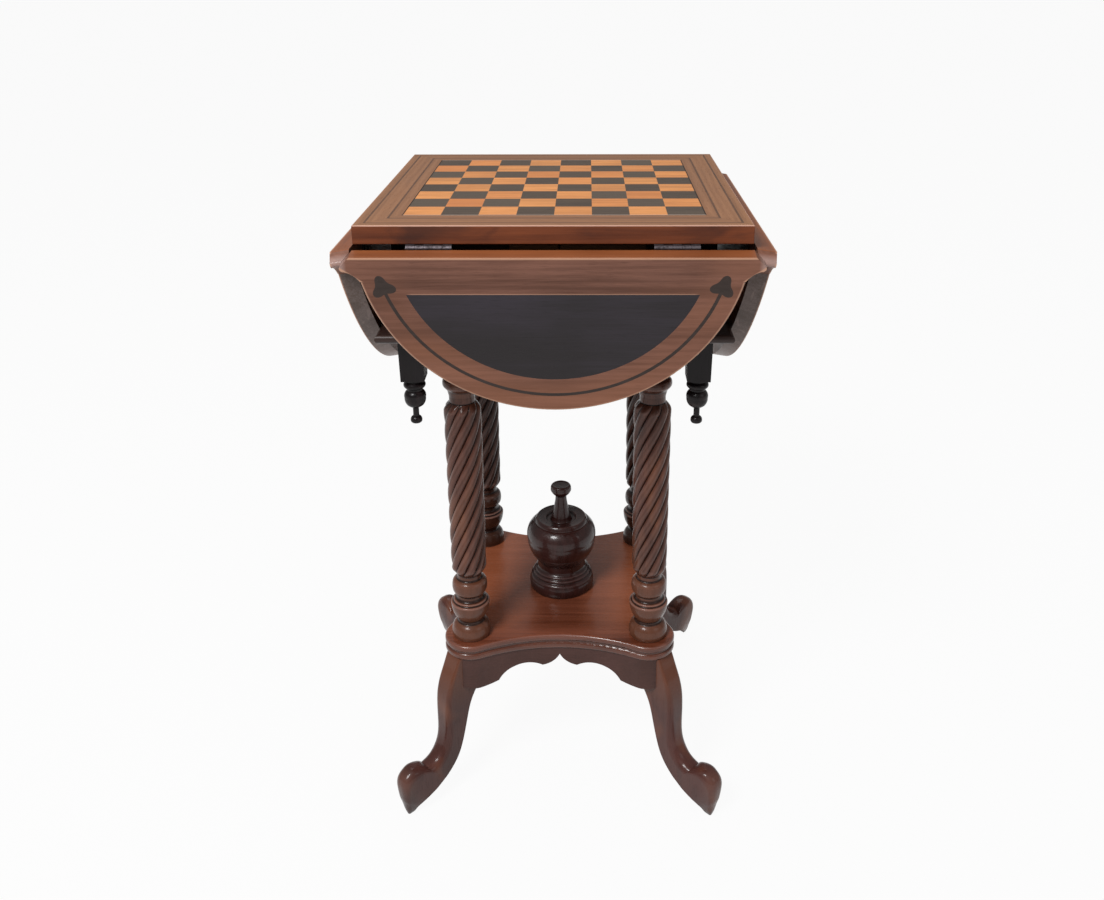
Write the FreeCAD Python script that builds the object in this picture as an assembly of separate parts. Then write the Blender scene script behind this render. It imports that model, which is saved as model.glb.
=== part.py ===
"""Chess table with four drop leaves: one STEP file for each sub-part, in millimetres.

The origin is on the floor under the middle of the top, +Z is up and the front is towards -Y.
The leaves are modelled hanging, as the table stands when it is put away.
"""

import FreeCAD, Part
import math
import os

from FreeCAD import Vector

# ---------------------------------------------------------------- driving dimensions (mm, degrees)

TABLE_HEIGHT = 766.0
SIDES = ("front", "right", "back", "left")
CORNERS = ("front_left", "front_right", "back_right", "back_left")

# top frame and chess board
BORDER_WIDTH = 45.0
TOP_THICKNESS = 20.0
TOP_ARRIS = 1.2
SQUARE = 40.0
SQUARES_PER_SIDE = 8
SQUARE_VENEER = 3.0
BOARD_THICKNESS = 12.0
BOARD_GAP = 0.3
LEDGE_WIDTH = 6.0
STRING_WIDTH = 2.4
STRING_DEPTH = 2.0
OUTER_STRING_INSET = 9.5
INNER_STRING_MARGIN = 12.1

# drop leaves: a circular edge with an ear at each end, and a mitre against the next leaf
LEAF_RIM_INSET = 4.0
LEAF_CENTRE_SETBACK = 20.4
LEAF_GAP = 0.6
LEAF_ARRIS = 1.8
MITRE_GAP = 0.5
LEAF_TILT = 9.0
EAR_DEPTH = 12.5
EAR_ROUND = 4.5
COVE_END_DEPTH = 26.3
COVE_SAG = 1.6
PANEL_BORDER = 39.0
PANEL_TOP_DEPTH = 41.0
PANEL_INLAY = 3.0
LEAF_STRING_INSET = 20.0
LEAF_STRING_WIDTH = 3.6
SPADE_ANGLE = 18.8
SPADE_HALF_WIDTH = 13.4
SPADE_HEIGHT = 20.0
SPADE_SAG = 2.6

# butt hinges
HINGE_INSET = 78.0
HINGE_LENGTH = 47.5
KNUCKLE_COVER = 0.3
KNUCKLE_RADIUS = 3.7
KNUCKLES = 5
KNUCKLE_GAP = 0.15
PLATE_THICKNESS = 1.8
PLATE_WIDTH = 20.0
PIN_RADIUS = 1.5
PIN_CLEARANCE = 0.05
SCREW_HEAD_RADIUS = 3.2
SCREW_SHANK_RADIUS = 1.5
SCREW_LENGTH = 11.0
SCREW_SPACING = 30.0

# box under the top
POST_INSET = 47.0
POST_SIDE = 28.0
POST_FOOT_SIDE = 26.0
POST_DROP = 52.0
RAIL_SETBACK = 1.0
RAIL_THICKNESS = 14.0
RAIL_HEIGHT = 104.0
TENON_THICKNESS = 8.0
TENON_LENGTH = 10.0
TENON_SHOULDER = 12.0
JOINT_CLEARANCE = 0.1
FLOOR_THICKNESS = 10.0
FLOOR_MARGIN = 4.0
LEAF_REST_GAP = 0.3

# fly brackets, folded flat against the box rails
BRACKET_LENGTH = 96.0
BRACKET_HEIGHT = 62.0
BRACKET_NOSE = 24.0
BRACKET_HEEL = 34.0
BRACKET_HOLLOW = 14.0
BRACKET_THICKNESS = 13.0
BRACKET_BLOCK_LENGTH = 46.0
BRACKET_FINGERS = 5
BRACKET_PIN_RADIUS = 2.0
BRACKET_DROP = 6.0
FINGER_GAP = 0.4

# twisted columns
COLUMN_INSET = 46.4
COLUMN_RING_RADIUS = 24.0
BASE_TURNING_HEIGHT = 82.0
HEAD_TURNING_HEIGHT = 92.0
COLUMN_TENON_RADIUS = 8.0
COLUMN_TENON_LENGTH = 9.0
STRANDS = 9
STRAND_LEAD = 245.0
STRAND_DEPTH = 3.4
STRAND_CORNERS = ((0.0, 1.0), (0.22, 0.25), (0.5, 0.0), (0.78, 0.25))
TWIST_RADIUS_LOW = 21.4
TWIST_RADIUS_HIGH = 22.2
NECK_BELOW = 6.0
NECK_ABOVE = 7.0
TWIST_RUNOUT = 11.0
TWIST_STEPS = 9
TWIST_START_DEPTH = 0.4
COLUMN_NECK_RADIUS = 15.2

# shelf, with its lobes round the columns and a hollow on each side
SHELF_TOP = 214.0
SHELF_THICKNESS = 20.0
SHELF_WAIST_MARGIN = 7.4
LOBE_RADIUS = 33.5
SHELF_GROOVE_WIDTH = 1.8
SHELF_GROOVE_DEPTH = 2.2
SHELF_BEAD_RADIUS = 3.5

# legs and skirts
LEG_THICKNESS = 27.0
LEG_ROUND_TOP = 3.0
LEG_FOOT_FLAT = 4.0
LEG_REACH = 89.0
DOWEL_RADIUS = 4.0
DOWEL_LENGTH = 24.0
DOWEL_COVER = 1.0
DOWEL_SETBACKS = (15.0, 39.0)
DOWEL_CLEARANCE = 0.1
SKIRT_SETBACK = 3.0
SKIRT_THICKNESS = 14.0
SKIRT_DEPTH = 43.0

# lidded urn
URN_FOOT_RADIUS = 43.0
URN_WAIST_RADIUS = 31.5
URN_TENON_RADIUS = 10.0
URN_BALL_RADIUS = 45.6
URN_WAIST_TOP = 41.0
URN_SHOULDER_RISE = 22.7
URN_SHOULDER_RADIUS = 36.5
URN_BORE_RADIUS = 28.0
URN_BORE_DEPTH = 50.0
LID_GAP = 0.3
LID_SETBACK = 1.3
LID_RIM = 2.8
LID_HEIGHT = 53.0
SPIGOT_DEPTH = 5.0

# ---------------------------------------------------------------- levels worked out from the above

BOARD_SIDE = SQUARE * SQUARES_PER_SIDE
TOP_HALF = BOARD_SIDE / 2 + BORDER_WIDTH
TOP_SIDE = 2 * TOP_HALF
TOP_UNDERSIDE = TABLE_HEIGHT - TOP_THICKNESS
INNER_STRING_INSET = BORDER_WIDTH - INNER_STRING_MARGIN - STRING_WIDTH
LEAF_RADIUS = TOP_HALF - LEAF_RIM_INSET
PANEL_RADIUS = LEAF_RADIUS - PANEL_BORDER
LEAF_STRING_RADIUS = LEAF_RADIUS - LEAF_STRING_INSET
HINGE_EDGE = TOP_HALF + LEAF_GAP
HINGE_CENTRES = (HINGE_INSET - TOP_HALF, TOP_HALF - HINGE_INSET)
HINGE_DROP = KNUCKLE_RADIUS + KNUCKLE_COVER
PIVOT_OUT = TOP_HALF + LEAF_GAP / 2
PIVOT_Z = TOP_UNDERSIDE - HINGE_DROP
POST_CENTRE = TOP_HALF - POST_INSET
FLOOR_HALF = POST_CENTRE + POST_SIDE / 2 + FLOOR_MARGIN
FLOOR_TOP = TOP_UNDERSIDE - RAIL_HEIGHT
FLOOR_UNDERSIDE = FLOOR_TOP - FLOOR_THICKNESS
RAIL_FACE = POST_CENTRE + POST_SIDE / 2 - RAIL_SETBACK
POST_INNER = POST_CENTRE - POST_SIDE / 2
COLUMN_CENTRE = POST_CENTRE - COLUMN_INSET
SHELF_UNDERSIDE = SHELF_TOP - SHELF_THICKNESS
SHELF_WAIST = COLUMN_CENTRE + SHELF_WAIST_MARGIN
SHELF_CORNER = COLUMN_CENTRE * math.sqrt(2) + LOBE_RADIUS
DOWEL_TOP = SHELF_TOP - COLUMN_TENON_LENGTH - DOWEL_COVER
LID_RADIUS = URN_SHOULDER_RADIUS - LID_SETBACK
URN_BALL_HEIGHT = URN_WAIST_TOP + math.sqrt(URN_BALL_RADIUS**2 - URN_WAIST_RADIUS**2)
COLUMN_HEIGHT = FLOOR_UNDERSIDE - SHELF_TOP
FAR = 2 * (TOP_SIDE + TABLE_HEIGHT)

os.makedirs("parts", exist_ok=True)


def save(name, *solids):
    """Writes one node: a single solid, or a group of separate solids."""
    shape = solids[0] if len(solids) == 1 else Part.makeCompound(list(solids))
    shape.exportStep("parts/" + name + ".step")


def block(low, high):
    """A box between two opposite corners."""
    size = [h - l for l, h in zip(low, high)]
    return Part.makeBox(*size, Vector(*low))


def arc(start, middle, end):
    """An arc edge through three points."""
    return Part.Arc(Vector(*start), Vector(*middle), Vector(*end)).toShape()


def line(start, end):
    """A straight edge."""
    return Part.makeLine(Vector(*start), Vector(*end))


def sagged(start, end, sag):
    """An arc edge in the XY plane that bows by sag to the left of the way from start to end."""
    dx, dy = end[0] - start[0], end[1] - start[1]
    length = math.hypot(dx, dy)
    middle = ((start[0] + end[0]) / 2 - dy / length * sag, (start[1] + end[1]) / 2 + dx / length * sag)
    return arc((*start, 0), (*middle, 0), (*end, 0))


def prism(edges, direction):
    """The solid that a closed run of edges sweeps along a direction."""
    return Part.Face(Part.Wire(Part.__sortEdges__(edges))).extrude(Vector(*direction))


def polygon_prism(points, direction):
    """The solid that a polygon sweeps along a direction."""
    corners = [Vector(*p) for p in points]
    return Part.Face(Part.makePolygon(corners + corners[:1])).extrude(Vector(*direction))


def turned(shape, turns):
    """A copy turned about the table's upright axis by quarter turns, from the front to another side."""
    copy = shape.copy()
    copy.rotate(Vector(0, 0, 0), Vector(0, 0, 1), 90 * turns)
    return copy


def moved(shape, x, y, z):
    """A copy moved by x, y, z."""
    copy = shape.copy()
    copy.translate(Vector(x, y, z))
    return copy


def front_wedge(gap, low=-FAR, high=FAR):
    """The quarter of space in front of the two diagonals, set back from each by a gap."""
    corners = [(0, -gap, low), (-FAR, -gap - FAR, low), (FAR, -gap - FAR, low)]
    return polygon_prism(corners, (0, 0, high - low))


def turning(steps, x=0.0, y=0.0, z=0.0):
    """A turned solid. Each step is (radius, height) for a straight run from the last step,
    or (radius, height, bulge) for an arc that bows outwards by bulge, or inwards if it is negative."""
    edges = []
    last = (0.0, steps[0][1])
    for step in list(steps) + [(0.0, steps[-1][1])]:
        radius, height = step[:2]
        if len(step) == 3:
            run, rise = radius - last[0], height - last[1]
            length = math.hypot(run, rise)
            middle = (
                (last[0] + radius) / 2 + rise / length * step[2],
                0,
                (last[1] + height) / 2 - run / length * step[2],
            )
            edges.append(arc((last[0], 0, last[1]), middle, (radius, 0, height)))
        elif math.dist(last, (radius, height)) > 1e-6:
            edges.append(line((last[0], 0, last[1]), (radius, 0, height)))
        last = (radius, height)
    edges.append(line((0, 0, last[1]), (0, 0, steps[0][1])))
    solid = Part.Face(Part.Wire(edges)).revolve(Vector(0, 0, 0), Vector(0, 0, 1), 360)
    return moved(solid, x, y, z)


def drawn(outline, radius, height):
    """The steps of an outline drawn in shares: radii and bulges of one radius, heights of one height."""
    steps = []
    for step in outline:
        bulge = [radius * b for b in step[2:]]
        steps.append((radius * step[0], height * step[1], *bulge))
    return steps


# ---------------------------------------------------------------- top frame


def top_strip(inset, width, depth):
    """A strip of the front rail's face, mitred at the corners: the place of one inlaid string."""
    outer = -TOP_HALF + inset
    strip = block((outer, outer, TABLE_HEIGHT - depth), (-outer, outer + width, TABLE_HEIGHT))
    return strip.common(front_wedge(0))


def top_rail():
    """The front rail of the top: mitred ends, a rebate that carries the board, two string grooves."""
    outer, inner = -TOP_HALF, -BOARD_SIDE / 2 - BOARD_GAP
    ledge = inner + LEDGE_WIDTH
    low, high, r = TOP_UNDERSIDE, TABLE_HEIGHT, TOP_ARRIS
    rebate = high - BOARD_THICKNESS
    near = r * (1 - math.sqrt(0.5))
    section = [
        arc((outer, outer + r, high), (outer, outer + near, high - near), (outer, outer, high - r)),
        line((outer, outer, high - r), (outer, outer, low + r)),
        arc((outer, outer, low + r), (outer, outer + near, low + near), (outer, outer + r, low)),
        line((outer, outer + r, low), (outer, ledge, low)),
        line((outer, ledge, low), (outer, ledge, rebate)),
        line((outer, ledge, rebate), (outer, inner, rebate)),
        line((outer, inner, rebate), (outer, inner, high)),
        line((outer, inner, high), (outer, outer + r, high)),
    ]
    rail = prism(section, (TOP_SIDE, 0, 0)).common(front_wedge(0))
    for inset in (OUTER_STRING_INSET, INNER_STRING_INSET):
        rail = rail.cut(top_strip(inset, STRING_WIDTH, STRING_DEPTH))
    return rail


# ---------------------------------------------------------------- drop leaves, drawn raised


def leaf_point(radius, angle):
    """A point on a circle about the leaf's centre, at an angle in degrees from its left-right line."""
    x = radius * math.cos(math.radians(angle))
    y = -HINGE_EDGE + LEAF_CENTRE_SETBACK - radius * math.sin(math.radians(angle))
    return (x, y)


def leaf_arc(radius, depth):
    """The edge of a circle about the leaf's centre below a given depth, from right to left."""
    angle = math.degrees(math.asin((depth + LEAF_CENTRE_SETBACK) / radius))
    right, low, left = (leaf_point(radius, a) for a in (angle, 90, 180 - angle))
    return arc((*right, 0), (*low, 0), (*left, 0)), right


def leaf_blank():
    """A raised front leaf before inlay: straight hinge edge, eared and coved corners, circular edge."""
    rim, rim_end = leaf_arc(LEAF_RADIUS, COVE_END_DEPTH)
    hinge_half = HINGE_EDGE - MITRE_GAP
    tip = (hinge_half + EAR_DEPTH - EAR_ROUND, -HINGE_EDGE - EAR_DEPTH + EAR_ROUND)
    nose = (tip[0] + EAR_ROUND / 2, tip[1] - EAR_ROUND)
    heel = (tip[0] - EAR_ROUND / 2, tip[1] - 1.6 * EAR_ROUND)
    edges = [rim]
    for s in (1, -1):
        edges += [
            line((0, -HINGE_EDGE, 0), (s * hinge_half, -HINGE_EDGE, 0)),
            line((s * hinge_half, -HINGE_EDGE, 0), (s * tip[0], tip[1], 0)),
            arc((s * tip[0], tip[1], 0), (s * nose[0], nose[1], 0), (s * heel[0], heel[1], 0)),
            sagged((s * heel[0], heel[1]), (s * rim_end[0], rim_end[1]), -s * COVE_SAG),
        ]
    blank = moved(prism(edges, (0, 0, TOP_THICKNESS)), 0, 0, TOP_UNDERSIDE)
    return blank.cut(rim_waste(rim_end[1]))


def rim_waste(end):
    """What is taken off a raised front leaf to round the upper arris of its rim, up to the rim's end."""
    y, z = -HINGE_EDGE + LEAF_CENTRE_SETBACK, TABLE_HEIGHT - LEAF_ARRIS
    bulge = LEAF_ARRIS * (1 - math.sqrt(0.5))
    kept = turning([(LEAF_RADIUS, 0), (LEAF_RADIUS - LEAF_ARRIS, LEAF_ARRIS, bulge)], 0, y, z)
    waste = Part.makeCylinder(LEAF_RADIUS + LEAF_ARRIS, LEAF_ARRIS, Vector(0, y, z)).cut(kept)
    return waste.common(block((-FAR, -FAR, z), (FAR, end, TABLE_HEIGHT)))


def leaf_panel():
    """The dark D-shaped inlay of a raised front leaf."""
    rim, end = leaf_arc(PANEL_RADIUS, PANEL_TOP_DEPTH)
    edges = [rim, line((end[0], end[1], 0), (-end[0], end[1], 0))]
    return moved(prism(edges, (0, 0, PANEL_INLAY)), 0, 0, TABLE_HEIGHT - PANEL_INLAY)


def leaf_strings():
    """The string inlaid in a raised front leaf's border, and the spade at each of its ends."""
    solids = []
    half = LEAF_STRING_WIDTH / 2
    end_angle = SPADE_ANGLE - math.degrees(1.2 * SPADE_SAG / LEAF_STRING_RADIUS)
    inner, outer = (
        [leaf_point(LEAF_STRING_RADIUS + side, a) for a in (end_angle, 90, 180 - end_angle)]
        for side in (-half, half)
    )
    edges = [arc(*[(*p, 0) for p in inner]), arc(*[(*p, 0) for p in outer])]
    edges += [line((*inner[i], 0), (*outer[i], 0)) for i in (0, 2)]
    solids.append(prism(edges, (0, 0, STRING_DEPTH)))
    foot = leaf_point(LEAF_STRING_RADIUS, SPADE_ANGLE)
    across = (math.cos(math.radians(SPADE_ANGLE)), -math.sin(math.radians(SPADE_ANGLE)))
    along = (-across[1], across[0])
    for s in (1, -1):
        corners = []
        for u, v in ((-SPADE_HALF_WIDTH, 0), (0, SPADE_HEIGHT), (SPADE_HALF_WIDTH, 0)):
            x = foot[0] + u * across[0] + v * along[0]
            y = foot[1] + u * across[1] + v * along[1]
            corners.append((s * x, y))
        sides = [sagged(corners[i], corners[(i + 1) % 3], -s * SPADE_SAG) for i in range(3)]
        solids.append(prism(sides, (0, 0, STRING_DEPTH)))
    string, spades = solids[0], solids[1:]
    for spade in spades:
        string = string.cut(spade)
    return [moved(s, 0, 0, TABLE_HEIGHT - STRING_DEPTH) for s in [string] + spades]


def hang(shape):
    """Lets a raised front piece down about the hinge pins until the leaf leans on the box floor."""
    copy = shape.copy()
    copy.rotate(Vector(0, -PIVOT_OUT, PIVOT_Z), Vector(1, 0, 0), 90 + LEAF_TILT)
    return copy


# ---------------------------------------------------------------- hinges, drawn for a raised front leaf


def hinge_parts(centre):
    """One butt hinge: its table plate, leaf plate and pin, with the screws of each plate."""
    pitch = HINGE_LENGTH / KNUCKLES
    axis_y, axis_z = -PIVOT_OUT, PIVOT_Z
    start = centre - HINGE_LENGTH / 2
    top = TOP_UNDERSIDE
    plates, screws = [], []
    for side in (1, -1):
        reach = (axis_y, axis_y + side * PLATE_WIDTH)
        low = (start, min(reach), top - PLATE_THICKNESS)
        plate = block(low, (start + HINGE_LENGTH, max(reach), top))
        for i in range(KNUCKLES):
            x0, x1 = start + i * pitch, start + (i + 1) * pitch
            if (i % 2 == 0) == (side == 1):
                barrel = Part.makeCylinder(
                    KNUCKLE_RADIUS,
                    x1 - x0 - 2 * KNUCKLE_GAP,
                    Vector(x0 + KNUCKLE_GAP, axis_y, axis_z),
                    Vector(1, 0, 0),
                )
                plate = plate.fuse(barrel)
            else:
                room = KNUCKLE_RADIUS + LEAF_GAP / 2
                plate = plate.cut(
                    block(
                        (x0 - KNUCKLE_GAP, axis_y - room, top - FAR),
                        (x1 + KNUCKLE_GAP, axis_y + room, top + 1),
                    )
                )
        bore = Part.makeCylinder(
            PIN_RADIUS + PIN_CLEARANCE, HINGE_LENGTH, Vector(start, axis_y, axis_z), Vector(1, 0, 0)
        )
        plate = plate.cut(bore)
        group = []
        screw_y = axis_y + side * (KNUCKLE_RADIUS + PLATE_WIDTH) / 2
        for dx in (-SCREW_SPACING / 2, SCREW_SPACING / 2):
            group.append(wood_screw(centre + dx, screw_y, top - PLATE_THICKNESS))
            plate = plate.cut(group[-1])
        plates.append(plate)
        screws.append(group)
    pin = Part.makeCylinder(PIN_RADIUS, HINGE_LENGTH, Vector(start, axis_y, axis_z), Vector(1, 0, 0))
    return plates[0], plates[1], pin, screws[0], screws[1]


def wood_screw(x, y, z):
    """A countersunk screw that points up, with its head flush at height z."""
    shank = SCREW_SHANK_RADIUS
    return turning([(SCREW_HEAD_RADIUS, 0), (shank, PLATE_THICKNESS), (shank, SCREW_LENGTH)], x, y, z)


# ---------------------------------------------------------------- box under the top


def corner_post():
    """The front left post: a square length inside the box, a tapered black foot, a turned pendant."""
    half, foot = POST_SIDE / 2, POST_FOOT_SIDE / 2
    square = block((-half, -half, FLOOR_UNDERSIDE), (half, half, TOP_UNDERSIDE))
    low = FLOOR_UNDERSIDE - POST_DROP
    rings = []
    for size, z in ((foot, low), (half, FLOOR_UNDERSIDE)):
        corners = [(-size, -size, z), (size, -size, z), (size, size, z), (-size, size, z)]
        rings.append(Part.makePolygon([Vector(*c) for c in corners + corners[:1]]))
    taper = Part.makeLoft(rings, True, True)
    pendant = turning(
        [
            (3.0, -54.0),
            (6.6, -50.5, 1.2),
            (3.4, -45.5, 1.0),
            (3.4, -36.0),
            (9.0, -32.0),
            (12.0, -23.0, 1.0),
            (8.5, -14.0, 1.6),
            (8.5, -11.5),
            (11.8, -9.5, 0.5),
            (11.8, -5.5, 0.6),
            (9.5, -3.5),
            (10.5, 0.0),
        ],
        z=low,
    )
    post = square.fuse(taper).fuse(pendant).removeSplitter()
    for mortise in (rail_tenon(1, JOINT_CLEARANCE), rail_tenon(-1, JOINT_CLEARANCE)):
        post = post.cut(mortise)
    return moved(post, -POST_CENTRE, -POST_CENTRE, 0)


def rail_tenon(hand, clearance):
    """The room of one rail tenon in a post at the origin: hand 1 runs along X, -1 along Y."""
    centre = -POST_SIDE / 2 + RAIL_SETBACK + RAIL_THICKNESS / 2
    half = TENON_THICKNESS / 2 + clearance
    reach = POST_SIDE / 2 - TENON_LENGTH - clearance
    low, high = FLOOR_TOP + TENON_SHOULDER - clearance, TOP_UNDERSIDE - TENON_SHOULDER + clearance
    if hand == 1:
        return block((reach, centre - half, low), (FAR, centre + half, high))
    return block((centre - half, reach, low), (centre + half, FAR, high))


def box_rail():
    """The front rail of the box, with a shouldered tenon at each end."""
    low = (-POST_INNER, -RAIL_FACE, FLOOR_TOP)
    body = block(low, (POST_INNER, -RAIL_FACE + RAIL_THICKNESS, TOP_UNDERSIDE))
    middle = -RAIL_FACE + RAIL_THICKNESS / 2
    reach = POST_INNER + TENON_LENGTH
    tenon = block(
        (-reach, middle - TENON_THICKNESS / 2, FLOOR_TOP + TENON_SHOULDER),
        (reach, middle + TENON_THICKNESS / 2, TOP_UNDERSIDE - TENON_SHOULDER),
    )
    return body.fuse(tenon).removeSplitter()


def box_floor():
    """The floor of the box, let in round the four posts, with a hole for each column's tenon."""
    floor = block((-FLOOR_HALF, -FLOOR_HALF, FLOOR_UNDERSIDE), (FLOOR_HALF, FLOOR_HALF, FLOOR_TOP))
    half = POST_SIDE / 2 + JOINT_CLEARANCE
    for x in (-POST_CENTRE, POST_CENTRE):
        for y in (-POST_CENTRE, POST_CENTRE):
            floor = floor.cut(block((x - half, y - half, 0), (x + half, y + half, FLOOR_TOP + 1)))
    for x in (-COLUMN_CENTRE, COLUMN_CENTRE):
        for y in (-COLUMN_CENTRE, COLUMN_CENTRE):
            hole = Part.makeCylinder(
                COLUMN_TENON_RADIUS + JOINT_CLEARANCE,
                COLUMN_TENON_LENGTH + JOINT_CLEARANCE,
                Vector(x, y, FLOOR_UNDERSIDE),
            )
            floor = floor.cut(hole)
    return floor


def floor_moulding():
    """The front half-round moulding on the edge of the box floor: the hanging leaf leans on it."""
    nose = FLOOR_THICKNESS / 2
    middle = FLOOR_UNDERSIDE + nose
    tilt = math.radians(LEAF_TILT)
    room = HINGE_DROP - nose - LEAF_REST_GAP + (middle - PIVOT_Z) * math.sin(tilt)
    centre = -(PIVOT_OUT + room / math.cos(tilt))
    low, high = FLOOR_UNDERSIDE, FLOOR_TOP
    section = [
        arc((-FAR, centre, low), (-FAR, centre - nose, middle), (-FAR, centre, high)),
        line((-FAR, centre, high), (-FAR, -FLOOR_HALF, high)),
        line((-FAR, -FLOOR_HALF, high), (-FAR, -FLOOR_HALF, low)),
        line((-FAR, -FLOOR_HALF, low), (-FAR, centre, low)),
    ]
    return prism(section, (2 * FAR, 0, 0)).common(front_wedge(0))


# ---------------------------------------------------------------- fly brackets


def fly_bracket():
    """One swinging bracket of the front rail, its fixed block and its pin, folded flat on the rail."""
    face = -RAIL_FACE
    outer = face - BRACKET_THICKNESS
    high = TOP_UNDERSIDE - BRACKET_DROP
    low = high - BRACKET_HEIGHT
    knuckle = BRACKET_THICKNESS / 2
    axis = face - knuckle
    nose, heel = high - BRACKET_NOSE, BRACKET_HEEL
    run, rise = BRACKET_LENGTH - heel, nose - low
    bow = BRACKET_HOLLOW / math.hypot(run, rise)
    middle = (heel + run / 2 - rise * bow, outer, low + rise / 2 + run * bow)
    arm_edges = [
        line((0, outer, high), (BRACKET_LENGTH, outer, high)),
        line((BRACKET_LENGTH, outer, high), (BRACKET_LENGTH, outer, nose)),
        arc((BRACKET_LENGTH, outer, nose), middle, (heel, outer, low)),
        line((heel, outer, low), (0, outer, low)),
        line((0, outer, low), (0, outer, high)),
    ]
    arm = prism(arm_edges, (0, BRACKET_THICKNESS, 0))
    fixed = block((-BRACKET_BLOCK_LENGTH, outer, low), (0, face, high))
    pitch = BRACKET_HEIGHT / BRACKET_FINGERS
    gap = FINGER_GAP / 2
    room = knuckle + FINGER_GAP
    for i in range(BRACKET_FINGERS):
        z0, z1 = low + i * pitch, low + (i + 1) * pitch
        finger = Part.makeCylinder(knuckle, pitch - 2 * gap, Vector(0, axis, z0 + gap))
        clear = block((-room, outer - 1, z0 - gap), (room, face + 1, z1 + gap))
        if i % 2 == 0:
            fixed = fixed.cut(block((-knuckle, outer - 1, z0), (1, face + 1, z1)))
            web = block((-knuckle - 1, axis - knuckle, z0 + gap), (0, face, z1 - gap))
            fixed = fixed.fuse(finger).fuse(web)
            arm = arm.cut(clear)
        else:
            fixed = fixed.cut(clear)
            arm = arm.cut(block((-1, outer - 1, z0), (knuckle, face + 1, z1)))
            web = block((0, axis - knuckle, z0 + gap), (knuckle + 1, face, z1 - gap))
            arm = arm.fuse(finger).fuse(web)
    hole = Part.makeCylinder(BRACKET_PIN_RADIUS + PIN_CLEARANCE, FAR, Vector(0, axis, 0))
    pin = Part.makeCylinder(BRACKET_PIN_RADIUS, BRACKET_HEIGHT, Vector(0, axis, low))
    return arm.cut(hole).removeSplitter(), fixed.cut(hole).removeSplitter(), pin


# ---------------------------------------------------------------- twisted columns


def base_turnings():
    """The steps of a column's foot, from the shelf up to the neck: three rings parted by hollows."""
    outline = [
        (0.967, 0.0),
        (0.975, 0.134, 0.038),
        (0.717, 0.244, 0.055),
        (0.675, 0.256),
        (0.675, 0.293),
        (0.692, 0.299),
        (0.996, 0.561, 0.075),
        (0.983, 0.591, 0.012),
        (0.858, 0.604),
        (0.817, 0.634, 0.03),
        (0.679, 0.677, -0.03),
        (0.679, 0.72),
        (0.708, 0.738),
        (0.883, 0.805, 0.038),
        (0.888, 0.909, 0.017),
        (0.725, 0.982, 0.042),
    ]
    steps = drawn(outline, COLUMN_RING_RADIUS, BASE_TURNING_HEIGHT)
    return steps + [(COLUMN_NECK_RADIUS, BASE_TURNING_HEIGHT)]


def head_turnings():
    """The steps of a column's head, measured down from the box floor to the neck."""
    outline = [
        (0.967, 0.0),
        (0.975, 0.12, 0.038),
        (0.717, 0.217, 0.055),
        (0.675, 0.228),
        (0.675, 0.272),
        (0.692, 0.277),
        (0.996, 0.511, 0.075),
        (0.983, 0.538, 0.012),
        (0.858, 0.549),
        (0.817, 0.576, 0.03),
        (0.679, 0.614, -0.03),
        (0.679, 0.696),
        (0.875, 0.772, -0.035),
        (0.9, 0.859, 0.043),
        (0.717, 0.913),
    ]
    steps = drawn(outline, COLUMN_RING_RADIUS, HEAD_TURNING_HEIGHT)
    return steps + [(COLUMN_NECK_RADIUS, HEAD_TURNING_HEIGHT)]


def twist_ends():
    """The heights above the shelf between which the twist runs: a plain neck parts it from the turnings."""
    low = base_turnings()[-1][1] + NECK_BELOW
    high = COLUMN_HEIGHT - head_turnings()[-1][1] - NECK_ABOVE
    return low, high


def twist():
    """The twist: strands parted by vee grooves, turned once in each lead and run out at both ends.
    Lines climb along each groove and over the round of each strand, and ruled faces join them."""
    low, high = twist_ends()
    heights = [low, low + TWIST_RUNOUT / 2, low + TWIST_RUNOUT]
    body = high - low - 2 * TWIST_RUNOUT
    heights += [low + TWIST_RUNOUT + body * i / TWIST_STEPS for i in range(1, TWIST_STEPS)]
    heights += [high - TWIST_RUNOUT, high - TWIST_RUNOUT / 2, high]
    lines = [[] for corner in range(STRANDS * len(STRAND_CORNERS))]
    for z in heights:
        rise = min(z - low, high - z, TWIST_RUNOUT) / TWIST_RUNOUT
        swell = math.sin(rise * math.pi / 2)
        full = TWIST_RADIUS_LOW + (TWIST_RADIUS_HIGH - TWIST_RADIUS_LOW) * (z - low) / (high - low)
        crest = COLUMN_NECK_RADIUS + (full - COLUMN_NECK_RADIUS) * swell
        depth = TWIST_START_DEPTH + (STRAND_DEPTH - TWIST_START_DEPTH) * swell
        turn = 2 * math.pi * z / STRAND_LEAD
        for i in range(STRANDS):
            for j, (share, sunk) in enumerate(STRAND_CORNERS):
                angle = turn + 2 * math.pi * (i + share) / STRANDS
                radius = crest - depth * sunk
                point = Vector(radius * math.cos(angle), radius * math.sin(angle), z)
                lines[i * len(STRAND_CORNERS) + j].append(point)
    edges = []
    for points in lines:
        curve = Part.BSplineCurve()
        curve.interpolate(Points=points, Parameters=heights)
        edges.append(curve.toShape())
    faces = [Part.makeRuledSurface(edges[i - 1], edges[i], 1) for i in range(len(edges))]
    for end in (0, -1):
        ring = [points[end] for points in lines]
        faces.append(Part.Face(Part.makePolygon(ring + ring[:1])))
    skin = Part.Shell(faces)
    skin.sewShape()
    return Part.Solid(skin)


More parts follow.
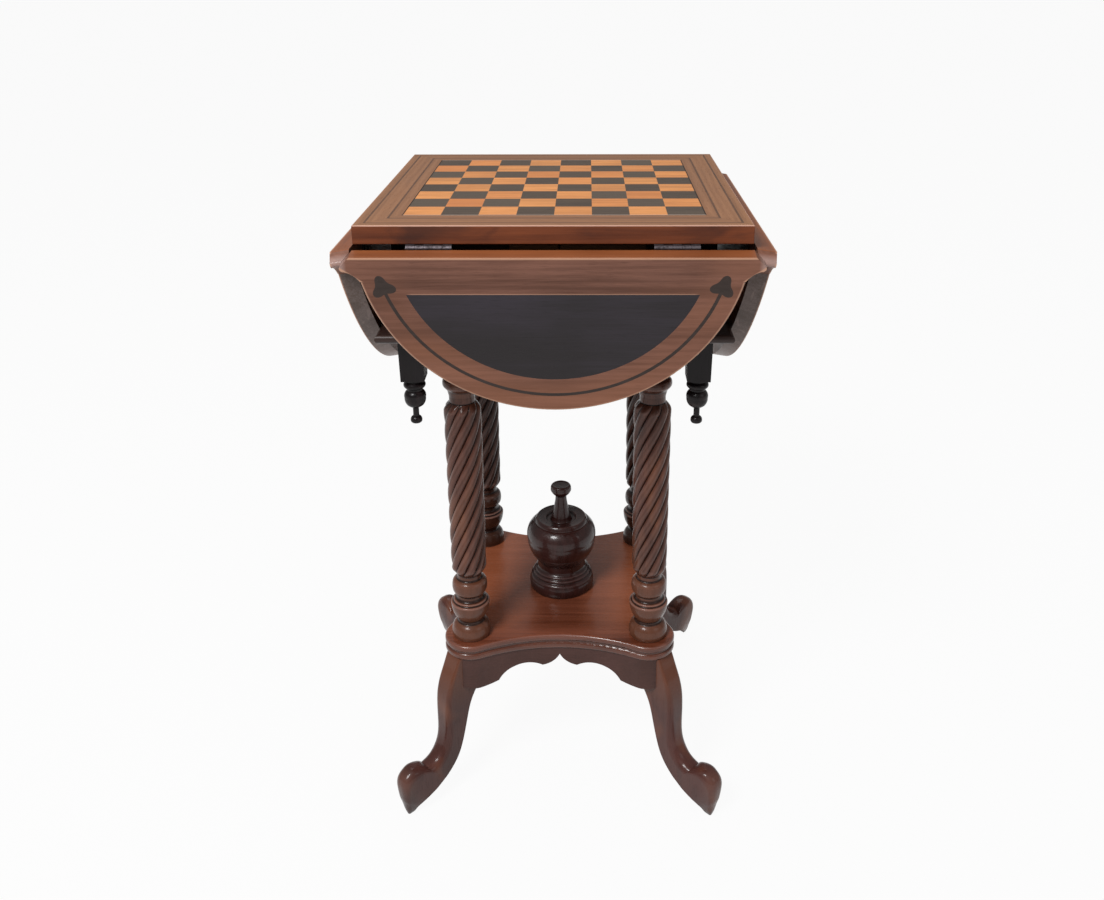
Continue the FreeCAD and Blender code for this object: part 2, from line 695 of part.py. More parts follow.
def column():
    """One column at the origin, from the tenon under the shelf's top to the tenon in the box floor."""
    tenon = COLUMN_TENON_LENGTH
    foot = [(COLUMN_TENON_RADIUS, -tenon), (COLUMN_TENON_RADIUS, 0.0)]
    low, high = twist_ends()
    foot += base_turnings() + [(COLUMN_NECK_RADIUS, low)]
    head = [(COLUMN_NECK_RADIUS, high)]
    head += [flipped(step) for step in reversed_steps(head_turnings())]
    head += [(COLUMN_TENON_RADIUS, COLUMN_HEIGHT), (COLUMN_TENON_RADIUS, COLUMN_HEIGHT + tenon)]
    return turning(foot).fuse(twist()).fuse(turning(head))


def reversed_steps(steps):
    """The same outline walked the other way: each bulge goes to the step that now ends its arc."""
    back = []
    for i in range(len(steps) - 1, -1, -1):
        bulge = steps[i + 1][2:] if i + 1 < len(steps) else ()
        back.append(steps[i][:2] + bulge)
    return back


def flipped(step):
    """A step measured down from the box floor, given as a height above the shelf."""
    return (step[0], COLUMN_HEIGHT - step[1]) + step[2:]


# ---------------------------------------------------------------- shelf, skirts and legs


def hollow_radius(inset):
    """The radius of the shelf's hollow side, where it runs smoothly into the lobes at its ends."""
    run = SHELF_WAIST - COLUMN_CENTRE
    whole = (COLUMN_CENTRE**2 + run**2 - LOBE_RADIUS**2) / (2 * (LOBE_RADIUS - run))
    return whole + inset


def hollow_edges(inset, z, lobe_end=None):
    """The front side of the shelf's outline, set in by an inset: the hollow, and half a lobe each end."""
    radius = hollow_radius(inset)
    middle = SHELF_WAIST - inset + radius
    lobe = LOBE_RADIUS - inset
    reach = math.hypot(COLUMN_CENTRE, middle - COLUMN_CENTRE)
    tangent = (COLUMN_CENTRE / reach * radius, -middle + (middle - COLUMN_CENTRE) / reach * radius)
    edges = [arc((-tangent[0], tangent[1], z), (0, -SHELF_WAIST + inset, z), (tangent[0], tangent[1], z))]
    start = math.atan2(tangent[1] + COLUMN_CENTRE, tangent[0] - COLUMN_CENTRE)
    end = -math.pi / 4 if lobe_end is None else lobe_end
    for s in (1, -1):
        pts = []
        for angle in (start, (start + end) / 2, end):
            x = COLUMN_CENTRE + lobe * math.cos(angle)
            y = -COLUMN_CENTRE + lobe * math.sin(angle)
            pts.append((s * x, y, z))
        edges.append(arc(*pts))
    return edges


def shelf_slab(inset, low, high):
    """A slab of the shelf's outline, set in by an inset."""
    edges = []
    for i in range(4):
        edges += [turned(e, i) for e in hollow_edges(inset, low)]
    return prism(edges, (0, 0, high - low))


def shelf():
    """The shelf: two beads parted by a groove round its edge, and holes for tenons and dowels."""
    low, high = SHELF_UNDERSIDE, SHELF_TOP
    middle = (low + high) / 2
    half = SHELF_GROOVE_WIDTH / 2
    slab = shelf_slab(SHELF_GROOVE_DEPTH, low + half, high - half)
    for z0, z1 in ((low, middle - half), (middle + half, high)):
        bead = shelf_slab(0, z0, z1)
        rim = [e for e in bead.Edges if abs(e.BoundBox.ZMax - e.BoundBox.ZMin) < 1e-6]
        slab = slab.fuse(bead.makeFillet(SHELF_BEAD_RADIUS, rim))
    slab = slab.removeSplitter()
    depth = COLUMN_TENON_LENGTH + JOINT_CLEARANCE
    urn_hole = Part.makeCylinder(URN_TENON_RADIUS + JOINT_CLEARANCE, depth, Vector(0, 0, high - depth))
    column_hole = Part.makeCylinder(
        COLUMN_TENON_RADIUS + JOINT_CLEARANCE, depth, Vector(-COLUMN_CENTRE, -COLUMN_CENTRE, high - depth)
    )
    slab = slab.cut(urn_hole)
    for i in range(4):
        for hole in [column_hole] + dowels(DOWEL_CLEARANCE):
            slab = slab.cut(turned(hole, i))
    return slab


def dowels(clearance):
    """The two dowels that hold the front left leg to the shelf, or the holes for them."""
    pegs = []
    for setback in DOWEL_SETBACKS:
        x = (SHELF_CORNER - setback) * math.sqrt(0.5)
        low = DOWEL_TOP - DOWEL_LENGTH - clearance
        pegs.append(
            Part.makeCylinder(DOWEL_RADIUS + clearance, DOWEL_LENGTH + 2 * clearance, Vector(-x, -x, low))
        )
    return pegs


def leg_point(out, share):
    """A point of a leg: its way out from the shelf's corner as a share of the leg's reach, and its share
    of the leg's height."""
    return Vector(SHELF_CORNER + LEG_REACH * out, 0, SHELF_UNDERSIDE * share)


def leg_section(outer, inner, growth, width=1.0):
    """A section of a leg from its outer to its inner face. Both edges of the outer face are rounded over,
    the more the nearer they come to the foot, where only a narrow flat is left between them."""
    face, back = leg_point(*outer), leg_point(*inner)
    depth = (back - face).Length
    inward = (back - face).normalize()
    half = LEG_THICKNESS * width / 2
    radius = LEG_ROUND_TOP + (half - LEG_FOOT_FLAT * width / 2 - LEG_ROUND_TOP) * growth
    ease = radius * (1 - math.sqrt(0.5))

    def at(down, y):
        point = face + inward * down
        return (point.x, y, point.z)

    edges = [line(at(depth, half), at(depth, -half))]
    for s in (-1, 1):
        edges.append(line(at(depth, s * half), at(radius, s * half)))
        edges.append(arc(at(radius, s * half), at(ease, s * (half - ease)), at(0, s * (half - radius))))
    edges.append(line(at(0, radius - half), at(0, half - radius)))
    return Part.Wire(Part.__sortEdges__(edges))


def leg():
    """The front left leg: a scrolled plank on the diagonal, and the knob of its foot. Its outer edges are
    nearly square under the shelf and almost half round at the foot, and the knob narrows to its sole."""
    # each section: a point of the outer face, one of the inner face, and how far the rounding has grown
    stem = [
        ((-0.032, 1.0), (-0.543, 1.0), 0.0),
        ((0.036, 0.933), (-0.533, 0.935), 0.05),
        ((0.092, 0.881), (-0.515, 0.88), 0.12),
        ((0.143, 0.83), (-0.487, 0.825), 0.2),
        ((0.193, 0.753), (-0.396, 0.77), 0.31),
        ((0.215, 0.665), (-0.285, 0.71), 0.42),
        ((0.222, 0.577), (-0.182, 0.625), 0.53),
        ((0.228, 0.505), (-0.111, 0.515), 0.63),
        ((0.249, 0.433), (-0.042, 0.4), 0.73),
        ((0.305, 0.371), (0.042, 0.3), 0.82),
        ((0.401, 0.322), (0.152, 0.229), 0.92),
        ((0.49, 0.302), (0.25, 0.187), 0.97),
        ((0.565, 0.293), (0.33, 0.162), 1.0),
    ]
    # the same for the knob, with the share of the full thickness that it keeps
    knob = [
        ((0.565, 0.293), (0.33, 0.162), 1.0),
        ((0.605, 0.318), (0.395, 0.144), 1.0),
        ((0.71, 0.34), (0.456, 0.128), 1.0),
        ((0.835, 0.342), (0.518, 0.116), 1.0),
        ((0.914, 0.323), (0.57, 0.106), 1.0, 0.98),
        ((0.97, 0.296), (0.618, 0.096), 1.0, 0.95),
        ((0.995, 0.246), (0.665, 0.084), 1.0, 0.88),
        ((0.978, 0.153), (0.728, 0.064), 1.0, 0.73),
        ((0.948, 0.098), (0.768, 0.047), 1.0, 0.58),
        ((0.925, 0.05), (0.793, 0.027), 1.0, 0.44),
        ((0.905, 0.019), (0.81, 0.01), 1.0, 0.3),
        ((0.89, 0.0), (0.828, 0.0), 1.0, 0.18),
    ]
    stem, knob = (Part.makeLoft([leg_section(*s) for s in run], True, False) for run in (stem, knob))
    whole = stem.fuse(knob).removeSplitter()
    whole.rotate(Vector(0, 0, 0), Vector(0, 0, 1), 225)
    for dowel in dowels(DOWEL_CLEARANCE):
        whole = whole.cut(dowel)
    return whole


def skirt():
    """The front skirt: it follows the shelf's hollow side between two legs, its lower edge scalloped."""
    outer_inset, inner_inset = SKIRT_SETBACK, SKIRT_SETBACK + SKIRT_THICKNESS
    ring = shelf_slab(outer_inset, SHELF_UNDERSIDE - 2 * SKIRT_DEPTH, SHELF_UNDERSIDE)
    radius = hollow_radius(inner_inset)
    behind = Part.makeCylinder(radius, FAR, Vector(0, -SHELF_WAIST + inner_inset - radius, 0))
    front = ring.common(behind).common(front_wedge(LEG_THICKNESS / 2 * math.sqrt(2)))
    # the scallops from the middle to the leg: shares of the way to the column, and of the skirt's depth
    scallops = [
        (0.0, 0.233),
        (0.076, 0.477),
        (0.197, 0.605),
        (0.376, 0.477),
        (0.52, 0.547),
        (0.627, 0.709),
        (0.69, 0.919),
        (0.824, 1.0),
        (1.0, 1.0),
    ]
    half_run = [(COLUMN_CENTRE * x, SHELF_UNDERSIDE - SKIRT_DEPTH * z) for x, z in scallops]
    edges = []
    for s in (1, -1):
        for i in range(0, len(half_run) - 2, 2):
            edges.append(arc(*[(s * x, -FAR, z) for x, z in half_run[i : i + 3]]))
        end = half_run[-1]
        edges.append(line((s * end[0], -FAR, end[1]), (s * FAR, -FAR, end[1])))
        edges.append(line((s * FAR, -FAR, end[1]), (s * FAR, -FAR, TABLE_HEIGHT)))
    edges.append(line((-FAR, -FAR, TABLE_HEIGHT), (FAR, -FAR, TABLE_HEIGHT)))
    return front.common(prism(edges, (0, FAR, 0)))


# ---------------------------------------------------------------- urn


def urn():
    """The urn: a turned drum foot and a ball with a flattened shoulder, bored straight down from the
    mouth, with a tenon into the shelf."""
    ball, middle, waist, ball_low = URN_BALL_RADIUS, URN_BALL_HEIGHT, URN_WAIST_RADIUS, URN_WAIST_TOP
    foot, shoulder, seat = URN_FOOT_RADIUS, URN_SHOULDER_RADIUS, URN_BALL_HEIGHT + URN_SHOULDER_RISE
    steps = [
        (URN_TENON_RADIUS, -COLUMN_TENON_LENGTH),
        (URN_TENON_RADIUS, 0.0),
        (foot - 1.6, 0.0),
        (foot - 1.6, 15.0, 1.6),
        (foot - 3.8, 19.0, 0.8),
        (foot - 5.6, 20.2),
        (foot - 5.8, 24.0, 0.7),
        (foot - 8.0, 25.2),
        (foot - 8.4, 28.2, 0.6),
        (waist, 32.0, -0.5),
        (waist, ball_low),
        (ball, middle, round_bulge((waist, ball_low), (ball, middle), ball)),
        (shoulder, seat, shoulder_bulge()),
    ]
    body = turning(steps, z=SHELF_TOP)
    bore = Part.makeCylinder(URN_BORE_RADIUS, FAR, Vector(0, 0, SHELF_TOP + seat - URN_BORE_DEPTH))
    return body.cut(bore)


def round_bulge(start, end, radius):
    """How far an arc of a given radius bows beyond the straight line between two of its points."""
    return radius - math.sqrt(radius**2 - math.dist(start, end) ** 2 / 4)


def shoulder_bulge():
    """The bulge of the ball's upper outline, an arc that starts upright at the ball's widest ring."""
    inward = URN_BALL_RADIUS - URN_SHOULDER_RADIUS
    chord = math.hypot(inward, URN_SHOULDER_RISE)
    return round_bulge((0, 0), (chord, 0), chord**2 / (2 * inward))


def urn_lid():
    """The lid: a spigot that drops into the mouth, a low rim round a dished top, and a tapered stem with
    a button knob that is hollowed on top."""
    spigot = URN_BORE_RADIUS - LID_GAP
    seat = URN_BALL_HEIGHT + URN_SHOULDER_RISE
    rim = LID_RADIUS - LID_RIM
    spigot_steps = [(spigot - LID_GAP, -SPIGOT_DEPTH), (spigot, -SPIGOT_DEPTH + LID_GAP), (spigot, 0.0)]
    top = [
        (1.0, 0.106, 0.015),
        (0.957, 0.111, 0.009),
        (0.633, 0.081, -0.009),
        (0.586, 0.03),
        (0.448, 0.025),
        (0.383, 0.142, -0.012),
        (0.265, 0.472, -0.009),
        (0.222, 0.708, -0.009),
        (0.401, 0.83, 0.019),
        (0.414, 0.906, 0.015),
        (0.34, 1.0, 0.031),
        (0.262, 0.985),
    ]
    steps = spigot_steps + [(LID_RADIUS, 0.0)] + drawn(top, rim, LID_HEIGHT)
    return turning(steps, z=SHELF_TOP + seat)


# ---------------------------------------------------------------- write every node

rail = top_rail()
string_insets = (OUTER_STRING_INSET, INNER_STRING_INSET)
strings = [top_strip(inset, STRING_WIDTH, STRING_DEPTH) for inset in string_insets]
save("top_strings", *[turned(s, i) for s in strings for i in range(4)])

board_low = TABLE_HEIGHT - BOARD_THICKNESS
veneer_low = TABLE_HEIGHT - SQUARE_VENEER
half_board = BOARD_SIDE / 2
save("board_core", block((-half_board, -half_board, board_low), (half_board, half_board, veneer_low)))
squares = {"light": [], "dark": []}
for i in range(SQUARES_PER_SIDE):
    for j in range(SQUARES_PER_SIDE):
        x, y = -half_board + i * SQUARE, -half_board + j * SQUARE
        colour = "dark" if (i + j) % 2 else "light"
        squares[colour].append(block((x, y, veneer_low), (x + SQUARE, y + SQUARE, TABLE_HEIGHT)))
for colour, tiles in squares.items():
    save(colour + "_squares", *tiles)

panel, inlays = leaf_panel(), leaf_strings()
blank = leaf_blank()
for inlay in [panel] + inlays:
    blank = blank.cut(inlay)
hinge_sets = [hinge_parts(centre) for centre in HINGE_CENTRES]
for hinge in hinge_sets:
    for screw in hinge[3]:
        rail = rail.cut(screw)
    for screw in hinge[4]:
        blank = blank.cut(screw)
leaf = hang(blank).common(front_wedge(MITRE_GAP))

post = corner_post()
moulding, floor_rail = floor_moulding(), box_rail()
arm, fixed_block, bracket_pin = fly_bracket()
twisted = moved(column(), -COLUMN_CENTRE, -COLUMN_CENTRE, SHELF_TOP)
foot_leg, front_skirt = leg(), skirt()
pegs = dowels(0)

for i, side in enumerate(SIDES):
    save("top_rail_" + side, turned(rail, i))
    save("leaf_" + side, turned(leaf, i))
    save("leaf_panel_" + side, turned(hang(panel), i))
    save("leaf_inlay_" + side, *[turned(hang(s), i) for s in inlays])
    save("hinge_leaf_plates_" + side, *[turned(hang(h[1]), i) for h in hinge_sets])
    save("hinge_leaf_screws_" + side, *[turned(hang(s), i) for h in hinge_sets for s in h[4]])
    save("box_rail_" + side, turned(floor_rail, i))
    save("skirt_" + side, turned(front_skirt, i))

for i, corner in enumerate(CORNERS):
    save("corner_post_" + corner, turned(post, i))
    save("column_" + corner, turned(twisted, i))
    save("leg_" + corner, turned(foot_leg, i))

save("hinge_table_plates", *[turned(h[0], i) for h in hinge_sets for i in range(4)])
save("hinge_pins", *[turned(h[2], i) for h in hinge_sets for i in range(4)])
save("hinge_table_screws", *[turned(s, i) for h in hinge_sets for s in h[3] for i in range(4)])
save("box_floor", box_floor())
save("floor_moulding", *[turned(moulding, i) for i in range(4)])
save("fly_brackets", *[turned(arm, i) for i in range(4)])
save("fly_bracket_blocks", *[turned(fixed_block, i) for i in range(4)])
save("fly_bracket_pins", *[turned(bracket_pin, i) for i in range(4)])
save("shelf", shelf())
save("leg_dowels", *[turned(p, i) for p in pegs for i in range(4)])
save("urn", urn())
save("urn_lid", urn_lid())
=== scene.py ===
"""The looks of a chess table with four drop leaves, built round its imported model, in metres.

The origin is on the floor under the middle of the top, +Z is up and the front is towards -Y.
"""

import math

import bpy
import numpy as np
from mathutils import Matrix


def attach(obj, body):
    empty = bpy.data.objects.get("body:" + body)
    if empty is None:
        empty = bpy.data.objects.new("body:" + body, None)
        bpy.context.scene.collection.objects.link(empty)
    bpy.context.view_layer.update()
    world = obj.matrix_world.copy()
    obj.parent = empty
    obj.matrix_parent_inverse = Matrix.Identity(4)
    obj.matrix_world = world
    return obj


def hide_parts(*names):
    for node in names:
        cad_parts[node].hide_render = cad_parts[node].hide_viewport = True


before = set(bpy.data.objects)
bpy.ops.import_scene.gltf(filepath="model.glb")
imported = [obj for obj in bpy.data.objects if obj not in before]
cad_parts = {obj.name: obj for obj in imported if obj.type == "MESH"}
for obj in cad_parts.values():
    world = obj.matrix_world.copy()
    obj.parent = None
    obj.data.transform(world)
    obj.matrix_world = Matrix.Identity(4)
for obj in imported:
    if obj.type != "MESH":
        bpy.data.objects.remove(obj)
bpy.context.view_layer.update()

# ---------------------------------------------------------------- camera
# A person of middle height stands before the table and looks down on it, a little to its right.

CAMERA_PLACE = (0.03554, -1.23821, 1.02111)
CAMERA_TURN = (71.2327, 0.1681, 0.4978)
CAMERA_LENS = 34.10
CAMERA_SENSOR = 36.0
CAMERA_SHIFT = (-0.02366, -0.12236)

view = bpy.data.cameras.new("view")
view.lens = CAMERA_LENS
view.sensor_width = CAMERA_SENSOR
view.shift_x, view.shift_y = CAMERA_SHIFT
camera = bpy.data.objects.new("camera", view)
camera.location = CAMERA_PLACE
camera.rotation_euler = [math.radians(turn) for turn in CAMERA_TURN]
bpy.context.scene.collection.objects.link(camera)
bpy.context.scene.camera = camera
bpy.context.scene.view_settings.view_transform = "Standard"

# ---------------------------------------------------------------- studio
# A wide pale floor, a soft lamp above the front left corner, two weak ones from the right and from
# behind, and an even pale room all round.

ROOM_LIGHT = 0.33
FLOOR_COLOUR = (0.7, 0.7, 0.7)
FLOOR_WHITE = 0.94
FLOOR_ROUGH = 0.9
FLOOR_GLOSS = 0.1
FLOOR_HALF = 40.0
LAMPS = (
    # name, place, size, watts
    ("lamp_front", (-1.2, -1.95, 2.85), 1.1, 78.0),
    ("lamp_right", (2.2, -1.6, 1.9), 1.5, 6.0),
    ("lamp_back", (-0.4, 1.7, 3.5), 1.6, 12.0),
)
LAMP_AIM = (0.0, 0.0, 0.45)


class Shade:
    """A number, colour or vector that varies over a surface. Arithmetic on it adds Math nodes, and
    node() adds any other node to the same material."""

    def __init__(self, socket):
        self.socket = socket

    def node(self, kind, settings=None, inputs=None, output=0):
        """Adds a node: its settings first, a ramp's stops among them, then the values or links of
        its sockets."""
        tree = self.socket.id_data
        made = tree.nodes.new(kind)
        for key, setting in (settings or {}).items():
            if key == "stops":
                while len(made.color_ramp.elements) < len(setting):
                    made.color_ramp.elements.new(1.0)
                for stop, (place, colour) in zip(made.color_ramp.elements, setting):
                    stop.position = place
                    stop.color = (*colour, 1.0)
            else:
                setattr(made, key, setting)
        for key, given in (inputs or {}).items():
            if isinstance(given, Shade):
                tree.links.new(given.socket, made.inputs[key])
            else:
                made.inputs[key].default_value = given
        return Shade(made.outputs[output])

    def maths(self, operation, *values):
        """One Math node on one or two values."""
        return self.node("ShaderNodeMath", {"operation": operation}, dict(enumerate(values)))

    def __add__(self, other):
        return self.maths("ADD", self, other)

    def __radd__(self, other):
        return self.maths("ADD", other, self)

    def __sub__(self, other):
        return self.maths("SUBTRACT", self, other)

    def __rsub__(self, other):
        return self.maths("SUBTRACT", other, self)

    def __mul__(self, other):
        return self.maths("MULTIPLY", self, other)

    def __rmul__(self, other):
        return self.maths("MULTIPLY", other, self)

    def __truediv__(self, other):
        return self.maths("DIVIDE", self, other)

    def __pow__(self, power):
        return self.maths("POWER", self, power)

    def __abs__(self):
        return self.maths("ABSOLUTE", self)

    def larger(self, other):
        """The larger of two values at each point."""
        return self.maths("MAXIMUM", self, other)

    def root(self):
        """The square root."""
        return self.maths("SQRT", self)

    def floor(self):
        """The whole number below."""
        return self.maths("FLOOR", self)


def rgb(red, green, blue):
    """A colour as it looks on a screen, 0 to 255, turned into the light it stands for."""
    shares = [value / 255.0 for value in (red, green, blue)]
    return tuple(s / 12.92 if s <= 0.04045 else ((s + 0.055) / 1.055) ** 2.4 for s in shares)


def new_finish(name):
    """A material, the place on its object as a Shade, and its Principled shader."""
    material = bpy.data.materials.new(name)
    material.use_nodes = True
    tree = material.node_tree
    place = Shade(tree.nodes.new("ShaderNodeTexCoord").outputs["Object"])
    return material, place, tree.nodes["Principled BSDF"]


corners = [(x * FLOOR_HALF, y * FLOOR_HALF, 0.0) for x, y in ((-1, -1), (1, -1), (1, 1), (-1, 1))]
sheet = bpy.data.meshes.new("floor")
sheet.from_pydata(corners, [], [(0, 1, 2, 3)])
floor = bpy.data.objects.new("floor", sheet)
bpy.context.scene.collection.objects.link(floor)
material, _, shader = new_finish("floor_paint")
shader.inputs["Base Color"].default_value = (*FLOOR_COLOUR, 1.0)
shader.inputs["Roughness"].default_value = FLOOR_ROUGH
shader.inputs["Specular IOR Level"].default_value = FLOOR_GLOSS
tree = material.node_tree
rays = tree.nodes.new("ShaderNodeLightPath")
ray_kinds = ("Is Camera Ray", "Is Glossy Ray", "Is Transmission Ray")
camera_ray, glossy_ray, clear_ray = (Shade(rays.outputs[kind]) for kind in ray_kinds)
seen = camera_ray.larger(glossy_ray).larger(clear_ray)
white = seen.node("ShaderNodeEmission", None, {"Color": (1.0, 1.0, 1.0, 1.0), "Strength": 1.0})
mixed = seen.node("ShaderNodeMixShader", None, {0: seen * FLOOR_WHITE, 2: white})
tree.links.new(shader.outputs[0], mixed.socket.node.inputs[1])
tree.links.new(mixed.socket, tree.nodes["Material Output"].inputs["Surface"])
floor.data.materials.append(material)

for name, place, size, watts in LAMPS:
    lamp = bpy.data.lights.new(name, "AREA")
    lamp.shape = "DISK"
    lamp.size = size
    lamp.energy = watts
    stand = bpy.data.objects.new(name, lamp)
    stand.location = place
    aim = np.array(LAMP_AIM) - np.array(place)
    flat = math.hypot(aim[0], aim[1])
    stand.rotation_euler = (math.atan2(flat, -aim[2]), 0.0, math.atan2(-aim[0], aim[1]))
    bpy.context.scene.collection.objects.link(stand)

world = bpy.data.worlds.new("room")
world.use_nodes = True
walls = world.node_tree.nodes["Background"]
walls.inputs["Color"].default_value = (1.0, 1.0, 1.0, 1.0)
walls.inputs["Strength"].default_value = ROOM_LIGHT
bpy.context.scene.world = world

# ---------------------------------------------------------------- shelf
# One board of red-brown wood with its grain from side to side, hollowed on all four sides, with two
# beads and a groove worked round its edge. It is stained and varnished to a high gloss.

SHELF_TOP = 0.214
SHELF_WOOD = rgb(112, 60, 41)
# The colour of the painted light on the top at both sides.
SHELF_PAINTED_LIGHT = rgb(172, 98, 64)
# The colour of the painted highlight on the upper bead.
SHELF_BEAD_HIGHLIGHT = rgb(176, 128, 116)
# The two numbers of a mark are where it starts and where it is full, here and in each section.
BEAD_FOOT = (SHELF_TOP - 0.0035, SHELF_TOP - 0.0012)
BEAD_CROWN = (SHELF_TOP - 0.0001, SHELF_TOP - 0.0008)
EDGE_SHADE = (SHELF_TOP - 0.0002, SHELF_TOP - 0.001)
GROOVE_MIDDLE = SHELF_TOP - 0.01
GROOVE_SIDES = (0.0022, 0.0009)
PAINTED_LIGHT_SIDES = (0.02, 0.075)
PAINTED_LIGHT_BACK = (-0.125, -0.085)


def spread(value, low, high, to_low=0.0, to_high=1.0):
    """The share of the way from low to high, kept between the two ends of another range."""
    ends = {0: value, 1: low, 2: high, 3: to_low, 4: to_high}
    return value.node("ShaderNodeMapRange", {"clamp": True}, ends)


def mixed_in(colour, other, share):
    """A colour with a share of another, by a Mix node on colours."""
    settings = {"data_type": "RGBA", "clamp_factor": True}
    other = other if isinstance(other, Shade) else (*other, 1.0)
    return colour.node("ShaderNodeMix", settings, {0: share, 6: colour, 7: other}, output=2)


def noise(place, scale, detail=2.0, rough=0.5, bent=0.0):
    """A Noise texture's value, from about 0.25 to 0.75."""
    numbers = {"Scale": scale, "Detail": detail, "Roughness": rough, "Distortion": bent}
    return place.node("ShaderNodeTexNoise", None, {"Vector": place, **numbers})


def parts_of(place):
    """The x, y and z of a place."""
    split = place.node("ShaderNodeSeparateXYZ", None, {0: place}).socket.node
    return [Shade(socket) for socket in split.outputs]


def drawn_out(place, along, share, seed=0.0):
    """A place squeezed along the grain, which draws a pattern out along it."""
    scale = [1.0, 1.0, 1.0]
    scale["XYZ".index(along)] = share
    shift = (seed, 1.7 * seed, 0.6 * seed)
    sockets = {"Vector": place, "Location": shift, "Scale": scale}
    return place.node("ShaderNodeMapping", {"vector_type": "POINT"}, sockets)


TONE_STEPS = ((0.3, -1.0), (0.45, -0.35), (0.57, 0.3), (0.74, 1.1))
TONE_SHARES = (0.85, 1.0, 1.15)
FIBRE_SHARE = 0.34
DARK_SHARE = 0.45


def wood_ramp(tone, mean, contrast):
    """A tone pattern coloured by a ramp of four tones of one wood. They lie above and below its
    mean colour by shares of its light, the least in red and the most in blue, so dark streaks are
    warmer."""
    stops = []
    for stop, step in TONE_STEPS:
        levels = [level * (1 + contrast * step * part) for level, part in zip(mean, TONE_SHARES)]
        stops.append((stop, levels))
    return tone.node("ShaderNodeValToRGB", {"stops": stops}, {0: tone})


class Grain:
    """The figure of a sawn and polished board. Its tone is the sum of four patterns drawn out along
    the grain, balanced about 0.5: dark and light streaks, the lines of the year rings, fine fibres,
    and soft clouds. A ramp of four tones colours it. Pores are short dark dashes, the peaks of a
    very fine noise."""

    def __init__(
        self, place, mean, contrast, along, seed, figure=30.0, streaky=1.0, rings=0.14, cloudy=0.3
    ):
        board = drawn_out(place, along, 0.07, seed)
        self.streaks = noise(board, figure, detail=5.0, rough=0.62, bent=0.9)
        wave = {"wave_type": "RINGS", "rings_direction": along}
        numbers = {"Scale": 42.0, "Distortion": 5.0, "Detail": 2.0, "Detail Scale": 1.2}
        lines = board.node("ShaderNodeTexWave", wave, {"Vector": board, **numbers})
        self.fibres = noise(drawn_out(place, along, 0.02, seed), 620.0, detail=3.0, rough=0.6)
        self.clouds = noise(place, 8.0, detail=2.0)
        tone = self.streaks * streaky + lines * rings
        tone = tone + self.fibres * FIBRE_SHARE + self.clouds * cloudy
        self.tone = tone + 0.5 * (1.0 - streaky - rings - FIBRE_SHARE - cloudy)
        self.dark = [level * DARK_SHARE for level in mean]
        dashes = noise(drawn_out(place, along, 0.04, seed), 1500.0, detail=1.0)
        self.pores = spread(dashes, 0.6, 0.7)
        self.colour = mixed_in(wood_ramp(self.tone, mean, contrast), self.dark, self.pores * 0.4)


def polish(
    material, shader, grain, colour, gloss, rough, varnish=0.1, sharp=0.12, wavy=0.25, worn=None
):
    """Stain and polish over a grain, with the strength of the wood's own gloss and of the coat over
    it. The wood is rougher in its pores and pale streaks, the coat is thinner where it is worn, and
    its surface is a little wavy and sinks into the pores."""
    tree = material.node_tree
    tree.links.new(colour.socket, shader.inputs["Base Color"])
    uneven = (grain.streaks - 0.5) * 0.35 + grain.pores * 0.12 + (grain.clouds - 0.5) * 0.2
    tree.links.new((uneven + rough).socket, shader.inputs["Roughness"])
    coat = varnish * (1.0 - grain.pores * 0.4) + (grain.clouds - 0.5) * 0.25 * varnish
    if worn:
        coat = coat * (1.0 - worn * 0.4)
    tree.links.new(coat.socket, shader.inputs["Coat Weight"])
    shader.inputs["Coat Roughness"].default_value = sharp
    shader.inputs["Specular IOR Level"].default_value = gloss
    waves = {"Strength": wavy, "Distance": 0.001, "Height": grain.clouds * 4.0 + grain.streaks}
    wave = grain.clouds.node("ShaderNodeBump", None, waves)
    depth = grain.fibres * 0.3 - grain.pores
    fine = {"Strength": 0.3, "Distance": 0.0002, "Height": depth, "Normal": wave}
    tree.links.new(depth.node("ShaderNodeBump", None, fine).socket, shader.inputs["Normal"])


def dress(finish, *nodes):
    """Gives CAD nodes a finish."""
    for node in nodes:
        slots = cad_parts[node].data.materials
        slots.clear()
        slots.append(finish)


finish, place, shader = new_finish("shelf_varnish")
grain = Grain(
    place, SHELF_WOOD, contrast=0.42, along="X", seed=2.0, figure=36.0, streaky=1.1, rings=0.1,
    cloudy=0.35
)
x, y, z = parts_of(place)
# A painted highlight on the crest of the upper bead.
bead_highlight = spread(z, *BEAD_FOOT) * spread(z, *BEAD_CROWN)
# Painted shade in the groove.
groove_shade = spread(abs(z - GROOVE_MIDDLE), *GROOVE_SIDES)
# Painted light: the top is lighter and warmer at both sides, away from its front edge.
painted_light = spread(abs(x), *PAINTED_LIGHT_SIDES) * spread(y, *PAINTED_LIGHT_BACK)
colour = mixed_in(grain.colour, SHELF_PAINTED_LIGHT, painted_light * 0.55)
# Painted shade on the edge below the top face.
colour = mixed_in(colour, grain.dark, spread(z, *EDGE_SHADE) * 0.5)
colour = mixed_in(colour, SHELF_BEAD_HIGHLIGHT, bead_highlight * 0.2)
colour = mixed_in(colour, grain.dark, groove_shade * 0.9)
polish(finish, shader, grain, colour, gloss=0.5, rough=0.24, varnish=0.12, sharp=0.16, wavy=0.06)
dress(finish, "shelf")

# ---------------------------------------------------------------- legs
# Four legs, bandsawn from planks and rounded over with a spokeshave, with a scrolled foot. Each is
# held under the shelf's corner by two birch dowels. Stained a dark plum brown and varnished.

LEG_WOOD = rgb(79, 46, 40)
LEG_WARM = rgb(142, 86, 58)
LEG_WORN = rgb(150, 108, 92)
BIRCH = rgb(184, 147, 105)
SOLE = (0.012, 0.001)
TOE_REACH, TOE_HEIGHT = (0.262, 0.275), (0.02, 0.05)
KNEE_REACH, KNEE_HEIGHT = (0.155, 0.18), (0.12, 0.17)
CORNERS = ("front_left", "front_right", "back_right", "back_left")

